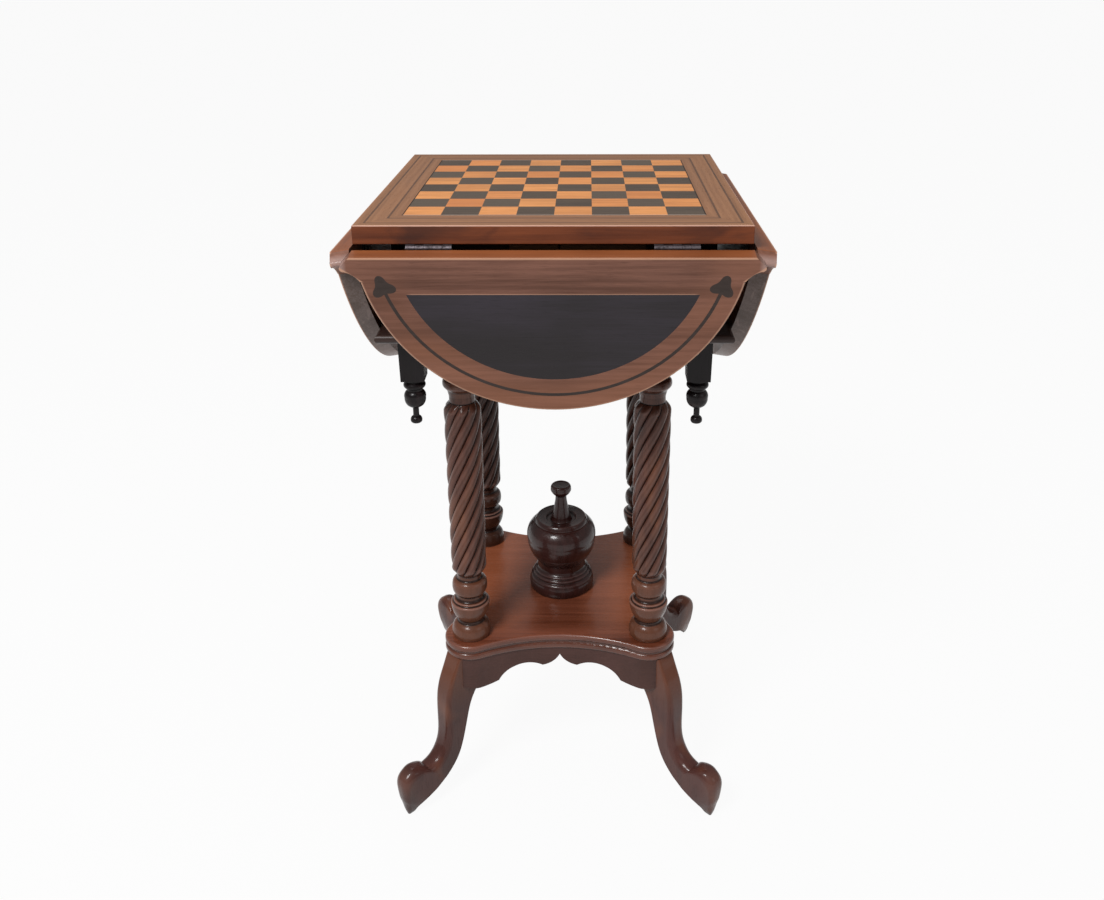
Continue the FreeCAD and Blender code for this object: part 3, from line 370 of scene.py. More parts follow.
finish, place, shader = new_finish("leg_varnish")
grain = Grain(
    place, LEG_WOOD, contrast=0.32, along="Z", seed=5.0, figure=16.0, streaky=0.8, rings=0.0,
    cloudy=0.9
)
x, y, z = parts_of(place)
reach = (x * x + y * y).root()
sole = spread(z, *SOLE)
toe = spread(reach, *TOE_REACH) * spread(z, *TOE_HEIGHT)
patches = noise(drawn_out(place, "Z", 0.5, 3.0), 24.0, detail=2.0)
colour = mixed_in(grain.colour, grain.dark, spread(patches, 0.44, 0.3) * 0.6)
knee = spread(z, *KNEE_HEIGHT) * spread(reach, *KNEE_REACH)
warm = knee.larger(spread(patches, 0.56, 0.7))
colour = mixed_in(colour, LEG_WARM, warm * 0.35)
colour = mixed_in(colour, LEG_WORN, toe * 0.2)
colour = mixed_in(colour, grain.dark, sole * 0.6)
polish(
    finish, shader, grain, colour, gloss=0.12, rough=0.36, varnish=0.35, sharp=0.1, wavy=0.6,
    worn=sole
)
dress(finish, *("leg_" + corner for corner in CORNERS))

finish, place, shader = new_finish("dowel_birch")
grain = Grain(place, BIRCH, contrast=0.25, along="Z", seed=1.0, figure=60.0)
polish(finish, shader, grain, grain.colour, gloss=0.2, rough=0.6, varnish=0.0)
dress(finish, "leg_dowels")

# ---------------------------------------------------------------- skirts
# Four bent aprons under the shelf, sawn to a scalloped lower edge, glued between the legs. The same
# dark plum stain as the legs, with the grain running along each side.

SIDES = ("front", "right", "back", "left")
SKIRT_WOOD = rgb(80, 51, 45)

for i, along in enumerate("XY"):
    finish, place, shader = new_finish("skirt_varnish_" + along.lower())
    grain = Grain(
        place, SKIRT_WOOD, contrast=0.32, along=along, seed=7.0 + i, figure=18.0, streaky=0.9,
        rings=0.0, cloudy=0.8
    )
    polish(
        finish, shader, grain, grain.colour, gloss=0.22, rough=0.36, varnish=0.1, sharp=0.12,
        wavy=0.4
    )
    dress(finish, "skirt_" + SIDES[i], "skirt_" + SIDES[i + 2])

# ---------------------------------------------------------------- columns
# Four columns with tenons into the shelf and the box floor, turned, then carved with nine strands
# that all climb the same way between plain necks. The crests are pale, partly where the stain is
# wiped thin and partly by a painted highlight; the grooves carry painted shade, and the back pair
# is painted darker all over as shade.

MM = 0.001
COLUMN_CENTRE = 111.6
COLUMN_HEIGHT = 418.0
RING = 24.0
NECK = 15.2
STRANDS = 9
STRAND_LEAD = 245.0
STRAND_DEPTH = 3.4
TWIST_LOW, TWIST_HIGH = 88.0, 319.0
TWIST_RUNOUT = 11.0
TWIST_RADIUS = (21.4, 22.2)
BASE_HEIGHT, HEAD_HEIGHT = 82.0, 92.0
STRAND_POINTS = 16
TWIST_START, TWIST_STEP = 0.5, 1.5
GROOVE_SHARPNESS = 1.3
RUN_POINTS = 40
OUTLINE_GAP = 0.9
BULGE_RADIUS = 0.0012
SHARP_ANGLE = math.radians(40)
COLUMN_WOOD = rgb(80, 46, 35)
COLUMN_WARM = rgb(122, 76, 52)
# The colour of the painted shade in the grooves and on the back pair.
COLUMN_SHADE = rgb(20, 9, 8)
# The pale of the crests: stain wiped thin, and a painted highlight.
COLUMN_WORN_AND_HIGHLIGHT = rgb(150, 110, 98)
FOOT_RINGS = (0.305, 0.295)
# Where the back pair starts to be painted darker as shade.
SHADED_BACK_PAIR = (-0.01, 0.01)

# Each step: its radius over RING, its height over that of the whole turning, and the bow of the arc
# that leads to it over RING.
BASE_RINGS = [
    (0.967, 0.0),
    (0.975, 0.134, 0.038),
    (0.717, 0.244, 0.055),
    (0.675, 0.256),
    (0.675, 0.293),
    (0.692, 0.299),
    (0.996, 0.561, 0.075),
    (0.983, 0.591, 0.012),
    (0.858, 0.604),
    (0.817, 0.634, 0.03),
    (0.679, 0.677, -0.03),
    (0.679, 0.72),
    (0.708, 0.738),
    (0.883, 0.805, 0.038),
    (0.888, 0.909, 0.017),
    (0.725, 0.982, 0.042),
]
HEAD_RINGS = [
    (0.967, 0.0),
    (0.975, 0.12, 0.038),
    (0.717, 0.217, 0.055),
    (0.675, 0.228),
    (0.675, 0.272),
    (0.692, 0.277),
    (0.996, 0.511, 0.075),
    (0.983, 0.538, 0.012),
    (0.858, 0.549),
    (0.817, 0.576, 0.03),
    (0.679, 0.614, -0.03),
    (0.679, 0.696),
    (0.875, 0.772, -0.035),
    (0.9, 0.859, 0.043),
    (0.717, 0.913),
]


def turned_outline(steps, gap, ease):
    """The outline of a turning in millimetres, as rows of (radius, height). A step of two numbers
    runs straight from the last one. A third number bows the run outwards, as an arc whose half
    angle is twice the arc tangent of twice the bow over the run. Points with an even gap and a
    running mean over a few of them then round each corner, as sandpaper does."""
    runs = [np.array([steps[0][:2]], float)]
    for last, step in zip(steps, steps[1:]):
        start, end = np.array(last[:2], float), np.array(step[:2], float)
        length = np.hypot(*(end - start))
        forward = (end - start) / length
        outward = np.array([forward[1], -forward[0]])
        run = start + np.linspace(0, length, RUN_POINTS)[1:, None] * forward
        if len(step) == 3:
            half = 2 * math.atan2(2 * step[2], length)
            radius = length / (2 * math.sin(half))
            turn = np.linspace(-half, half, RUN_POINTS)[1:, None]
            along = radius * np.sin(turn) + length / 2
            rise = radius * (np.cos(turn) - math.cos(half))
            run = start + along * forward + rise * outward
        runs.append(run)
    line = np.concatenate(runs)
    reach = np.concatenate([[0.0], np.cumsum(np.hypot(*np.diff(line, axis=0).T))])
    even = np.linspace(0.0, reach[-1], int(reach[-1] / gap))
    line = np.stack([np.interp(even, reach, line[:, k]) for k in (0, 1)], 1)
    before = 2 * line[:1] - line[ease:0:-1]
    after = 2 * line[-1:] - line[-2 : -ease - 2 : -1]
    padded = np.concatenate([before, line, after])
    window = np.ones(2 * ease + 1) / (2 * ease + 1)
    return np.stack([np.convolve(padded[:, k], window, "valid") for k in (0, 1)], 1)


def turned_grid(radii, heights, spin=0.0, centre=(0.0, 0.0)):
    """A grid of points in metres round an upright axis: each row is a ring at one height, turned by
    that row's spin, and radii holds one column for a plain turning or one for each point round
    it."""
    around = max(radii.shape[1], STRANDS * STRAND_POINTS)
    angle = np.linspace(0, 2 * np.pi, around, endpoint=False)[None, :] + np.reshape(spin, (-1, 1))
    x, y = centre[0] + radii * np.cos(angle), centre[1] + radii * np.sin(angle)
    return np.stack([x, y, np.broadcast_to(heights[:, None], x.shape)], -1) * MM


def bend_of(points, axis):
    """How strongly a grid of points is bent along one of its two ways, in 1/m: twice the bow of each
    point from the middle of its neighbours, over the product of its distances from them. Columns
    close round and rows don't."""
    before, after = np.roll(points, 1, axis), np.roll(points, -1, axis)
    if axis == 0:
        before[0], after[-1] = points[0], points[-1]
    size = np.linalg.norm(points - before, axis=2) * np.linalg.norm(after - points, axis=2)
    return (2 * points - before - after) / np.maximum(size, 1e-9)[..., None]


def turned_piece(name, grid, body, finish, node):
    """One closed shell from a grid of points, rows by columns. Its columns close round, and its
    first and last row are each closed by a fan of triangles about their middle. The attribute bulge
    holds the bend of the surface, times BULGE_RADIUS: over 0 on arrises and under 0 in hollows."""
    rows, columns = grid.shape[:2]
    number = np.arange(rows * columns).reshape(rows, columns)
    beside = np.roll(number, -1, 1)
    quads = np.stack([number[:-1], beside[:-1], beside[1:], number[1:]], -1).reshape(-1, 4)
    low, high = np.full(columns, rows * columns), np.full(columns, rows * columns + 1)
    low_fan = np.stack([beside[0], number[0], low], -1)
    high_fan = np.stack([number[-1], beside[-1], high], -1)
    points = np.concatenate([grid.reshape(-1, 3), grid[0].mean(0)[None], grid[-1].mean(0)[None]])
    normal = np.cross(np.roll(grid, -1, 1) - np.roll(grid, 1, 1), np.gradient(grid, axis=0))
    normal /= np.maximum(np.linalg.norm(normal, axis=2), 1e-12)[..., None]
    bend = ((bend_of(grid, 0) + bend_of(grid, 1)) * normal).sum(2)
    bulge = np.clip(bend * BULGE_RADIUS, -1.0, 1.0)
    mesh = bpy.data.meshes.new(name)
    mesh.from_pydata(points.tolist(), [], quads.tolist() + low_fan.tolist() + high_fan.tolist())
    values = np.concatenate([bulge.ravel(), [0.0, 0.0]])
    mesh.attributes.new("bulge", "FLOAT", "POINT").data.foreach_set("value", values)
    mesh.shade_smooth()
    mesh.set_sharp_from_angle(angle=SHARP_ANGLE)
    mesh.materials.append(finish)
    piece = bpy.data.objects.new(name, mesh)
    bpy.context.scene.collection.objects.link(piece)
    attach(piece, body)
    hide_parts(node)


def bulge_of(place):
    """The bend that turned_piece keeps on its mesh."""
    return place.node("ShaderNodeAttribute", {"attribute_name": "bulge"}, output=2)


def ring_steps(rings, height):
    """A foot's or head's outline in millimetres, up to the neck, from its shares."""
    steps = [(RING * r, height * h, *(RING * bow for bow in bows)) for r, h, *bows in rings]
    return [(1.0, 0.0)] + steps + [(NECK, height)]


foot_steps = ring_steps(BASE_RINGS, BASE_HEIGHT) + [(NECK, TWIST_LOW)]
head_steps = ring_steps(HEAD_RINGS, HEAD_HEIGHT) + [(NECK, COLUMN_HEIGHT - TWIST_HIGH)]
foot = turned_outline(foot_steps, OUTLINE_GAP, ease=1)
head = turned_outline(head_steps, OUTLINE_GAP, ease=1)
head = (head * (1, -1) + (0, COLUMN_HEIGHT))[::-1]
rise = np.arange(TWIST_LOW + TWIST_START, TWIST_HIGH, TWIST_STEP)
to_neck = np.minimum(rise - TWIST_LOW, TWIST_HIGH - rise)
swell = np.sin(np.minimum(to_neck / TWIST_RUNOUT, 1) * np.pi / 2)
crest = NECK + (np.interp(rise, (TWIST_LOW, TWIST_HIGH), TWIST_RADIUS) - NECK) * swell
# A power of one minus the sine of half a strand's angle leaves round crests and sharp grooves.
strand = np.linspace(0, np.pi * STRANDS, STRANDS * STRAND_POINTS, endpoint=False)[None, :]
sunk = (1 - np.abs(np.sin(strand))) ** GROOVE_SHARPNESS
twist_radii = crest[:, None] - STRAND_DEPTH * swell[:, None] * sunk
ones = np.ones_like(sunk)
radii = np.concatenate([foot[:, :1] * ones, twist_radii, head[:, :1] * ones])
heights = np.concatenate([foot[:, 1], rise, head[:, 1]])
spin = 2 * np.pi * np.clip(heights, TWIST_LOW, TWIST_HIGH) / STRAND_LEAD

finish, place, shader = new_finish("column_varnish")
grain = Grain(
    place, COLUMN_WOOD, contrast=0.42, along="Z", seed=11.0, figure=55.0, streaky=1.2, rings=0.1,
    cloudy=0.4
)
bulge = bulge_of(place)
shaded_hollow, arris = spread(bulge, 0.02, -0.22), spread(bulge, 0.14, 0.5)
y, z = parts_of(place)[1:]
patches = spread(noise(drawn_out(place, "Z", 0.4), 34.0, detail=3.0), 0.5, 0.64) * 0.45
rubbed = spread(z, *FOOT_RINGS) * 0.35
colour = mixed_in(grain.colour, COLUMN_WARM, patches.larger(rubbed))
# Painted shade: the back pair is darker all over.
colour = mixed_in(colour, COLUMN_SHADE, spread(y, *SHADED_BACK_PAIR) * 0.7)
# Painted shade in the grooves between the strands.
colour = mixed_in(colour, COLUMN_SHADE, shaded_hollow * 0.85)
# The crests paler: partly stain wiped thin, partly a painted highlight.
colour = mixed_in(colour, COLUMN_WORN_AND_HIGHLIGHT, arris * 0.55)
polish(
    finish, shader, grain, colour, gloss=0.18, rough=0.32, varnish=0.3, sharp=0.12, wavy=0.5,
    worn=shaded_hollow
)
for i, corner in enumerate(CORNERS):
    across, back = math.cos(i * math.pi / 2), math.sin(i * math.pi / 2)
    centre = (COLUMN_CENTRE * (back - across), -COLUMN_CENTRE * (across + back))
    grid = turned_grid(radii, heights + SHELF_TOP / MM, spin, centre)
    name = "twisted_column_" + corner
    turned_piece(name, grid, "table", finish, "column_" + corner)

# ---------------------------------------------------------------- box
# The box that the columns carry: four corner posts with turned pendants, four rails tenoned into
# them, and a floor with a half-round moulding that the hanging leaves lean on. The posts are
# ebonised, the moulding is stained dark, and the rest is brown.

EBONISED = rgb(22, 16, 18)
EBONISED_RUBBED = rgb(58, 46, 46)
BOX_WOOD = rgb(66, 38, 27)
MOULDING_WOOD = rgb(50, 33, 28)
PENDANT = (0.584, 0.57)

finish, place, shader = new_finish("post_ebonised")
grain = Grain(
    place, EBONISED, contrast=0.35, along="Z", seed=13.0, figure=60.0, streaky=1.0, rings=0.1,
    cloudy=0.4
)
pendant = spread(parts_of(place)[2], *PENDANT)
rubbed = spread(noise(place, 90.0, detail=3.0), 0.52, 0.7) * pendant
colour = mixed_in(grain.colour, EBONISED_RUBBED, rubbed * 0.5)
polish(finish, shader, grain, colour, gloss=0.15, rough=0.34, varnish=0.15, sharp=0.12, wavy=0.5)
dress(finish, *("corner_post_" + corner for corner in CORNERS))

for i, along in enumerate("XY"):
    finish, place, shader = new_finish("box_stain_" + along.lower())
    grain = Grain(place, BOX_WOOD, contrast=0.4, along=along, seed=17.0 + i, figure=30.0)
    polish(finish, shader, grain, grain.colour, gloss=0.25, rough=0.5, varnish=0.05, sharp=0.25)
    dress(finish, "box_rail_" + SIDES[i], "box_rail_" + SIDES[i + 2])
    if along == "X":
        dress(finish, "box_floor")

finish, place, shader = new_finish("moulding_stain")
grain = Grain(place, MOULDING_WOOD, contrast=0.35, along="X", seed=19.0, figure=40.0)
polish(finish, shader, grain, grain.colour, gloss=0.3, rough=0.4, varnish=0.1, sharp=0.2)
dress(finish, "floor_moulding")

# ---------------------------------------------------------------- fly brackets
# A swinging bracket on each rail with its fixed block and a steel pin, of plain beech that was only
# waxed, folded flat on the rail while the leaves hang.

BEECH = rgb(104, 69, 46)

finish, place, shader = new_finish("bracket_beech")
grain = Grain(
    place, BEECH, contrast=0.3, along="X", seed=23.0, figure=48.0, streaky=0.8, rings=0.1,
    cloudy=0.2
)
polish(finish, shader, grain, grain.colour, gloss=0.2, rough=0.55, varnish=0.0)
dress(finish, "fly_brackets", "fly_bracket_blocks")

# ---------------------------------------------------------------- top frame
# Four mitred rails of walnut-brown wood round the board, each with two dark strings let in, and
# all arrises rounded over. The upper face is painted lighter and greyer, as lit from above with a
# sheen, and the sides darker and redder, as painted shade, with dark blotches in the stain. The
# upper outer arris carries a painted highlight.

TOP_HALF = 0.205
TABLE_HEIGHT = 0.766
BOARD_HALF = 0.16
TOP_WOOD = rgb(152, 106, 74)
# The sides' colour, darker and redder as painted shade.
TOP_SIDE_SHADED = rgb(106, 52, 25)
TOP_SIDE_DARK = rgb(44, 20, 14)
# The colour of the painted highlight on the upper outer arris.
TOP_ARRIS_HIGHLIGHT = rgb(212, 168, 150)
JOINT_DARK = rgb(24, 14, 11)
STRING_WOOD = rgb(104, 72, 52)
LIT_TOP_FACE = (TABLE_HEIGHT - 0.0014, TABLE_HEIGHT - 0.0005)
TOP_ARRIS_OUT = (TOP_HALF - 0.0016, TOP_HALF - 0.0005)
TOP_ARRIS_UP = (TABLE_HEIGHT - 0.0016, TABLE_HEIGHT - 0.0006)
BOARD_GAP = (BOARD_HALF + 0.0012, BOARD_HALF + 0.0006)
MITRE_LINE = (0.0004, 0.0001)

for i, along in enumerate("XY"):
    finish, place, shader = new_finish("top_frame_polish_" + along.lower())
    grain = Grain(
        place, TOP_WOOD, contrast=0.17, along=along, seed=29.0 + 3 * i, figure=44.0, streaky=0.95,
        rings=0.2, cloudy=0.3
    )
    x, y, z = parts_of(place)
    out = abs(x).larger(abs(y))
    # The sides painted darker and redder as shade, the upper face lighter and greyer as lit with a
    # sheen.
    side = wood_ramp(grain.tone + (grain.clouds - 0.5) * 0.5, TOP_SIDE_SHADED, 0.42)
    blotches = noise(drawn_out(place, along, 0.5, 5.0), 22.0, detail=3.0, rough=0.6, bent=0.6)
    side = mixed_in(side, TOP_SIDE_DARK, spread(blotches, 0.48, 0.66) * 0.65)
    colour = mixed_in(side, grain.colour, spread(z, *LIT_TOP_FACE))
    # A painted highlight along the upper outer arris.
    arris = spread(out, *TOP_ARRIS_OUT) * spread(z, *TOP_ARRIS_UP)
    colour = mixed_in(colour, TOP_ARRIS_HIGHLIGHT, arris * 0.75)
    gap = spread(out, *BOARD_GAP)
    mitre = spread(abs(abs(x) - abs(y)), *MITRE_LINE)
    colour = mixed_in(colour, JOINT_DARK, (gap * 0.9).larger(mitre * 0.45))
    polish(
        finish, shader, grain, colour, gloss=0.3, rough=0.52, varnish=0.04, sharp=0.2, wavy=0.25,
        worn=arris
    )
    dress(finish, "top_rail_" + SIDES[i], "top_rail_" + SIDES[i + 2])

finish, place, shader = new_finish("top_string_stain")
grain = Grain(place, STRING_WOOD, contrast=0.3, along="X", seed=37.0, figure=60.0)
polish(finish, shader, grain, grain.colour, gloss=0.3, rough=0.52, varnish=0.04, sharp=0.2)
dress(finish, "top_strings")

# ---------------------------------------------------------------- chess board
# A lift-out board: squares of sawn veneer on a thick ground, each cut from another place, so that
# tone and figure change from square to square. Orange pear and grey-brown bog oak, polished.

SQUARE = 0.04
LIGHT_WOOD = rgb(229, 153, 88)
LIGHT_RED = rgb(206, 108, 50)
DARK_WOOD = rgb(80, 65, 52)
DARK_PALE = rgb(108, 95, 80)
# The colour of the painted highlight along the board's front and back edges.
BOARD_EDGE_HIGHLIGHT = rgb(238, 214, 200)
SQUARES_APART = 9.0
BOARD_RIM = (BOARD_HALF - 0.0008, BOARD_HALF - 0.0003)
HIGHLIT_EDGES = (BOARD_HALF - 0.0016, BOARD_HALF - 0.0008)


def square_of(place):
    """Two numbers from 0 to 1 that are the same all over one square, and the place shifted by them,
    so that each square has its own stretch of grain."""
    x, y = parts_of(place)[:2]
    cell = {0: (x / SQUARE).floor(), 1: (y / SQUARE).floor()}
    name = x.node("ShaderNodeCombineXYZ", None, cell)
    dice = {"noise_dimensions": "3D"}
    picked = name.node("ShaderNodeTexWhiteNoise", dice, {"Vector": name}, output=1)
    shift = {0: picked, "Scale": SQUARES_APART}
    moved = picked.node("ShaderNodeVectorMath", {"operation": "SCALE"}, shift)
    shifted = place.node("ShaderNodeVectorMath", {"operation": "ADD"}, {0: place, 1: moved})
    first, second = parts_of(picked)[:2]
    return first, second, shifted


for wood, mean, contrast, other in (
    ("light", LIGHT_WOOD, 0.26, LIGHT_RED),
    ("dark", DARK_WOOD, 0.4, DARK_PALE),
):
    finish, place, shader = new_finish(wood + "_square_polish")
    first, second, shifted = square_of(place)
    grain = Grain(
        shifted, mean, contrast=contrast, along="X", seed=41.0, figure=70.0, streaky=0.9,
        rings=0.12, cloudy=0.4
    )
    x, y = parts_of(place)[:2]
    colour = mixed_in(grain.colour, other, spread(first, 0.2, 1.0) * 0.42)
    colour = mixed_in(colour, grain.dark, spread(second, 0.5, 1.0) * 0.2)
    rim = spread(abs(x).larger(abs(y)), *BOARD_RIM)
    # A painted highlight along the board's front and back edges, where the dark rim is left out.
    highlit_edge = spread(abs(y), *HIGHLIT_EDGES)
    colour = mixed_in(colour, JOINT_DARK, rim * (1.0 - highlit_edge) * 0.8)
    colour = mixed_in(colour, BOARD_EDGE_HIGHLIGHT, highlit_edge * 0.6)
    polish(finish, shader, grain, colour, gloss=0.3, rough=0.5, varnish=0.05, sharp=0.2)
    dress(finish, wood + "_squares")

finish, place, shader = new_finish("board_ground_pine")
grain = Grain(place, BIRCH, contrast=0.25, along="Y", seed=43.0, figure=30.0)
polish(finish, shader, grain, grain.colour, gloss=0.2, rough=0.6, varnish=0.0)
dress(finish, "board_core")

# ---------------------------------------------------------------- leaves
# Four drop leaves, each one D-shaped board with the grain along its hinge edge, an ebony inlay, and
# a dark string that ends in a spade at both ends. All are flush and polished. The rim, the coves
# and the upper arris of the hinge edge carry painted highlights, the hinge edge is painted lighter
# and more orange as lit from above, and the cut rim is end grain, greyer by a painted reflection.

# The places and marks below are those of the front leaf when it is raised level with the top.
PIVOT_OUT, PIVOT_Z = 0.2053, 0.742
LEAF_HANG = 99.0
HINGE_EDGE = 0.2056
LEAF_CENTRE = 0.1852
LEAF_RADIUS = 0.201
PANEL_TOP = 0.2466
PANEL_HALF = 0.148
EAR_HEEL = (0.21085, 0.2208)
COVE_SLOPE = (0.586, 0.81)
COVE_END = 0.2325
LEAF_WOOD = rgb(113, 74, 59)
# The hinge edge's colour, painted lighter and more orange as lit from above.
HINGE_EDGE_LIT = rgb(138, 78, 44)
LEAF_WARM = rgb(152, 98, 70)
# The colour of the painted highlight on the arrises, also used for the thin line above the panel.
LEAF_ARRIS_HIGHLIGHT = rgb(206, 158, 130)
# The rim's end grain, greyer by a painted reflection.
END_GRAIN_AND_SHEEN = rgb(98, 86, 81)
# The colour of the painted highlight streaks on the rim and the ears' ends.
LEAF_STREAK_HIGHLIGHT = rgb(196, 172, 166)
PANEL_WOOD = rgb(37, 30, 36)
INLAY_WOOD = rgb(52, 40, 35)
STRING_RADIUS = 0.181
SPADE_TURN = math.radians(18.8)
SPADE_MIDDLE, SPADE_WAIST, SPADE_REACH, SPADE_POINTED = 0.0055, 0.0078, 0.0138, 1.3
SPADE_EDGE = (-0.0002, 0.0002)
LEAF_FACE = (TABLE_HEIGHT - 0.002, TABLE_HEIGHT - 0.0004)
HINGE_SIDE = (-HINGE_EDGE - 0.0006, -HINGE_EDGE - 0.0002)
HINGE_ARRIS = (-HINGE_EDGE - 0.0022, -HINGE_EDGE - 0.0012)
BELOW_EARS = (-COVE_END, -COVE_END - 0.0008)
ABOVE_COVE_END = (-COVE_END, -COVE_END + 0.0008)
COVE_ARRIS = (-0.0022, -0.0008)
RIM_SIDE = (LEAF_RADIUS - 0.0012, LEAF_RADIUS - 0.0004)
RIM_INNER = (LEAF_RADIUS - 0.0026, LEAF_RADIUS - 0.0012)
RIM_OUTER = (LEAF_RADIUS + 0.0008, LEAF_RADIUS + 0.0003)
PANEL_LINE_UP = (-PANEL_TOP, -PANEL_TOP + 0.0002)
PANEL_LINE_DOWN = (-PANEL_TOP + 0.0014, -PANEL_TOP + 0.0008)
PANEL_LINE_ENDS = (PANEL_HALF + 0.002, PANEL_HALF - 0.004)
EAR_ENDS = (0.208, 0.213)
STREAKED_ENDS = (0.11, 0.17)
CUT_ACROSS = (0.05, 0.16)
WARM_BORDER = (0.15, 0.19)
WARM_MIDDLE = (0.18, 0.06)


def raised_place(place, quarters):
    """The place on a hanging leaf, turned back to a raised front leaf: a quarter turn for each side
    it is away from the front, then about the hinge pins by the angle that it hangs at."""
    sockets = {0: place, "Angle": -quarters * math.pi / 2}
    front = place.node("ShaderNodeVectorRotate", {"rotation_type": "Z_AXIS"}, sockets)
    pins = (0.0, -PIVOT_OUT, PIVOT_Z)
    sockets = {0: front, "Center": pins, "Angle": -math.radians(LEAF_HANG)}
    return front.node("ShaderNodeVectorRotate", {"rotation_type": "X_AXIS"}, sockets)


def leaf_wood(raised, seed):
    """The grain of a leaf, its colour, and how far each point lies from the middle of the leaf's
    arc."""
    grain = Grain(
        raised, LEAF_WOOD, contrast=0.42, along="X", seed=seed, figure=34.0, streaky=1.25,
        rings=0.1, cloudy=0.5
    )
    x, y = parts_of(raised)[:2]
    down = y + LEAF_CENTRE
    out = (x * x + down * down).root()
    border = spread(out, *WARM_BORDER) * spread(abs(x), *WARM_MIDDLE, to_low=0.1, to_high=0.5)
    patches = spread(noise(drawn_out(raised, "X", 0.2), 12.0), 0.5, 0.68) * 0.3
    return grain, mixed_in(grain.colour, LEAF_WARM, border + patches), out


def spades_of(x, y):
    """Inside the spades at the two ends of the string, and above their feet. A spade is a curve of
    three lobes: its reach from its middle is a waist, plus a power of half of one plus the cosine
    of three times the angle from its tip."""
    right = abs(x) - STRING_RADIUS * math.cos(SPADE_TURN)
    up = y + LEAF_CENTRE + STRING_RADIUS * math.sin(SPADE_TURN)
    across = right * math.cos(SPADE_TURN) - up * math.sin(SPADE_TURN)
    above = right * math.sin(SPADE_TURN) + up * math.cos(SPADE_TURN)
    along = above - SPADE_MIDDLE
    away = (across * across + along * along).root()
    cosine = along / away.larger(0.0001)
    lobes = (4.0 * cosine * cosine * cosine - 3.0 * cosine + 1.0) * 0.5
    reach = lobes.larger(0.0) ** SPADE_POINTED * (SPADE_REACH - SPADE_WAIST) + SPADE_WAIST
    return spread(reach - away, *SPADE_EDGE), spread(above, *SPADE_EDGE)


for i, side in enumerate(SIDES):
    seed = 47.0 + 2 * i
    finish, place, shader = new_finish("leaf_polish_" + side)
    raised = raised_place(place, i)
    grain, colour, out = leaf_wood(raised, seed)
    x, y, z = parts_of(raised)
    face = spread(z, *LEAF_FACE)
    below_ears = spread(y, *BELOW_EARS)
    colour = mixed_in(colour, INLAY_WOOD, spades_of(x, y)[0] * face)
    # The hinge edge painted lighter and more orange, as lit from above.
    lit_hinge_side = wood_ramp(grain.tone, HINGE_EDGE_LIT, 0.3)
    colour = mixed_in(colour, lit_hinge_side, spread(y, *HINGE_SIDE))
    cut = (1.0 - face) * spread(out, *RIM_SIDE) * below_ears
    # The rim below the ears: end grain, greyed by a painted reflection.
    end_grain_and_sheen = wood_ramp(grain.tone + grain.fibres * 0.6 - 0.3, END_GRAIN_AND_SHEEN, 0.3)
    cut_share = spread(abs(x), *CUT_ACROSS, to_low=0.2, to_high=0.9)
    colour = mixed_in(colour, end_grain_and_sheen, cut * cut_share)
    # Painted highlight streaks on the rim towards the ends, and a painted highlight on the ears'
    # ends.
    highlight_streaks = spread(noise(drawn_out(raised, "Y", 0.12), 110.0, detail=3.0), 0.58, 0.72)
    highlight_streaks = highlight_streaks * spread(abs(x), *STREAKED_ENDS) * cut * 0.35
    colour = mixed_in(colour, LEAF_STREAK_HIGHLIGHT, highlight_streaks.larger(spread(abs(x), *EAR_ENDS) * 0.4))
    # A painted highlight on the upper arris of the hinge edge, the rim and the coves.
    hinge_arris = spread(y, *HINGE_ARRIS)
    rim = spread(out, *RIM_INNER) * spread(out, *RIM_OUTER) * below_ears
    slope = (abs(x) - EAR_HEEL[0]) * COVE_SLOPE[0] - (y + EAR_HEEL[1]) * COVE_SLOPE[1]
    cove = spread(slope, *COVE_ARRIS) * spread(y, *ABOVE_COVE_END)
    worn = hinge_arris.larger(rim).larger(cove) * face
    panel_line = spread(y, *PANEL_LINE_UP) * spread(y, *PANEL_LINE_DOWN)
    panel_line = panel_line * spread(abs(x), *PANEL_LINE_ENDS) * face
    colour = mixed_in(colour, LEAF_ARRIS_HIGHLIGHT, (worn * 0.8).larger(panel_line * 0.45))
    polish(
        finish, shader, grain, colour, gloss=0.25, rough=0.42, varnish=0.12, sharp=0.14, wavy=0.3,
        worn=worn
    )
    dress(finish, "leaf_" + side)

    finish, place, shader = new_finish("panel_ebony_" + side)
    grain = Grain(
        raised_place(place, i), PANEL_WOOD, contrast=0.45, along="X", seed=59.0 + i, figure=14.0,
        streaky=1.4, rings=0.0, cloudy=0.7
    )
    polish(
        finish, shader, grain, grain.colour, gloss=0.25, rough=0.34, varnish=0.2, sharp=0.2,
        wavy=0.4
    )
    dress(finish, "leaf_panel_" + side)

    finish, place, shader = new_finish("inlay_stain_" + side)
    raised = raised_place(place, i)
    around = leaf_wood(raised, seed)[1]
    spade, above_foot = spades_of(*parts_of(raised)[:2])
    grain = Grain(raised, INLAY_WOOD, contrast=0.3, along="X", seed=67.0 + i, figure=50.0)
    colour = mixed_in(around, grain.colour, spade.larger(1.0 - above_foot))
    polish(finish, shader, grain, colour, gloss=0.25, rough=0.42, varnish=0.12, sharp=0.16)
    dress(finish, "leaf_inlay_" + side)

# ---------------------------------------------------------------- hinges
# Eight steel butt hinges: folded plates with five knuckles, a pin, and countersunk screws. The
# steel is painted lighter above the line of the pins, as lit from above, and darker below it, as
# shade, and the plates are dull. The fly brackets turn on pins of the same steel.

STEEL = rgb(104, 97, 101)
# Dull steel in stains, and painted shade below the pins.
STEEL_DULL_AND_SHADE = rgb(48, 43, 43)
KNUCKLE_CROWN = (PIVOT_Z - 0.001, PIVOT_Z + 0.001)

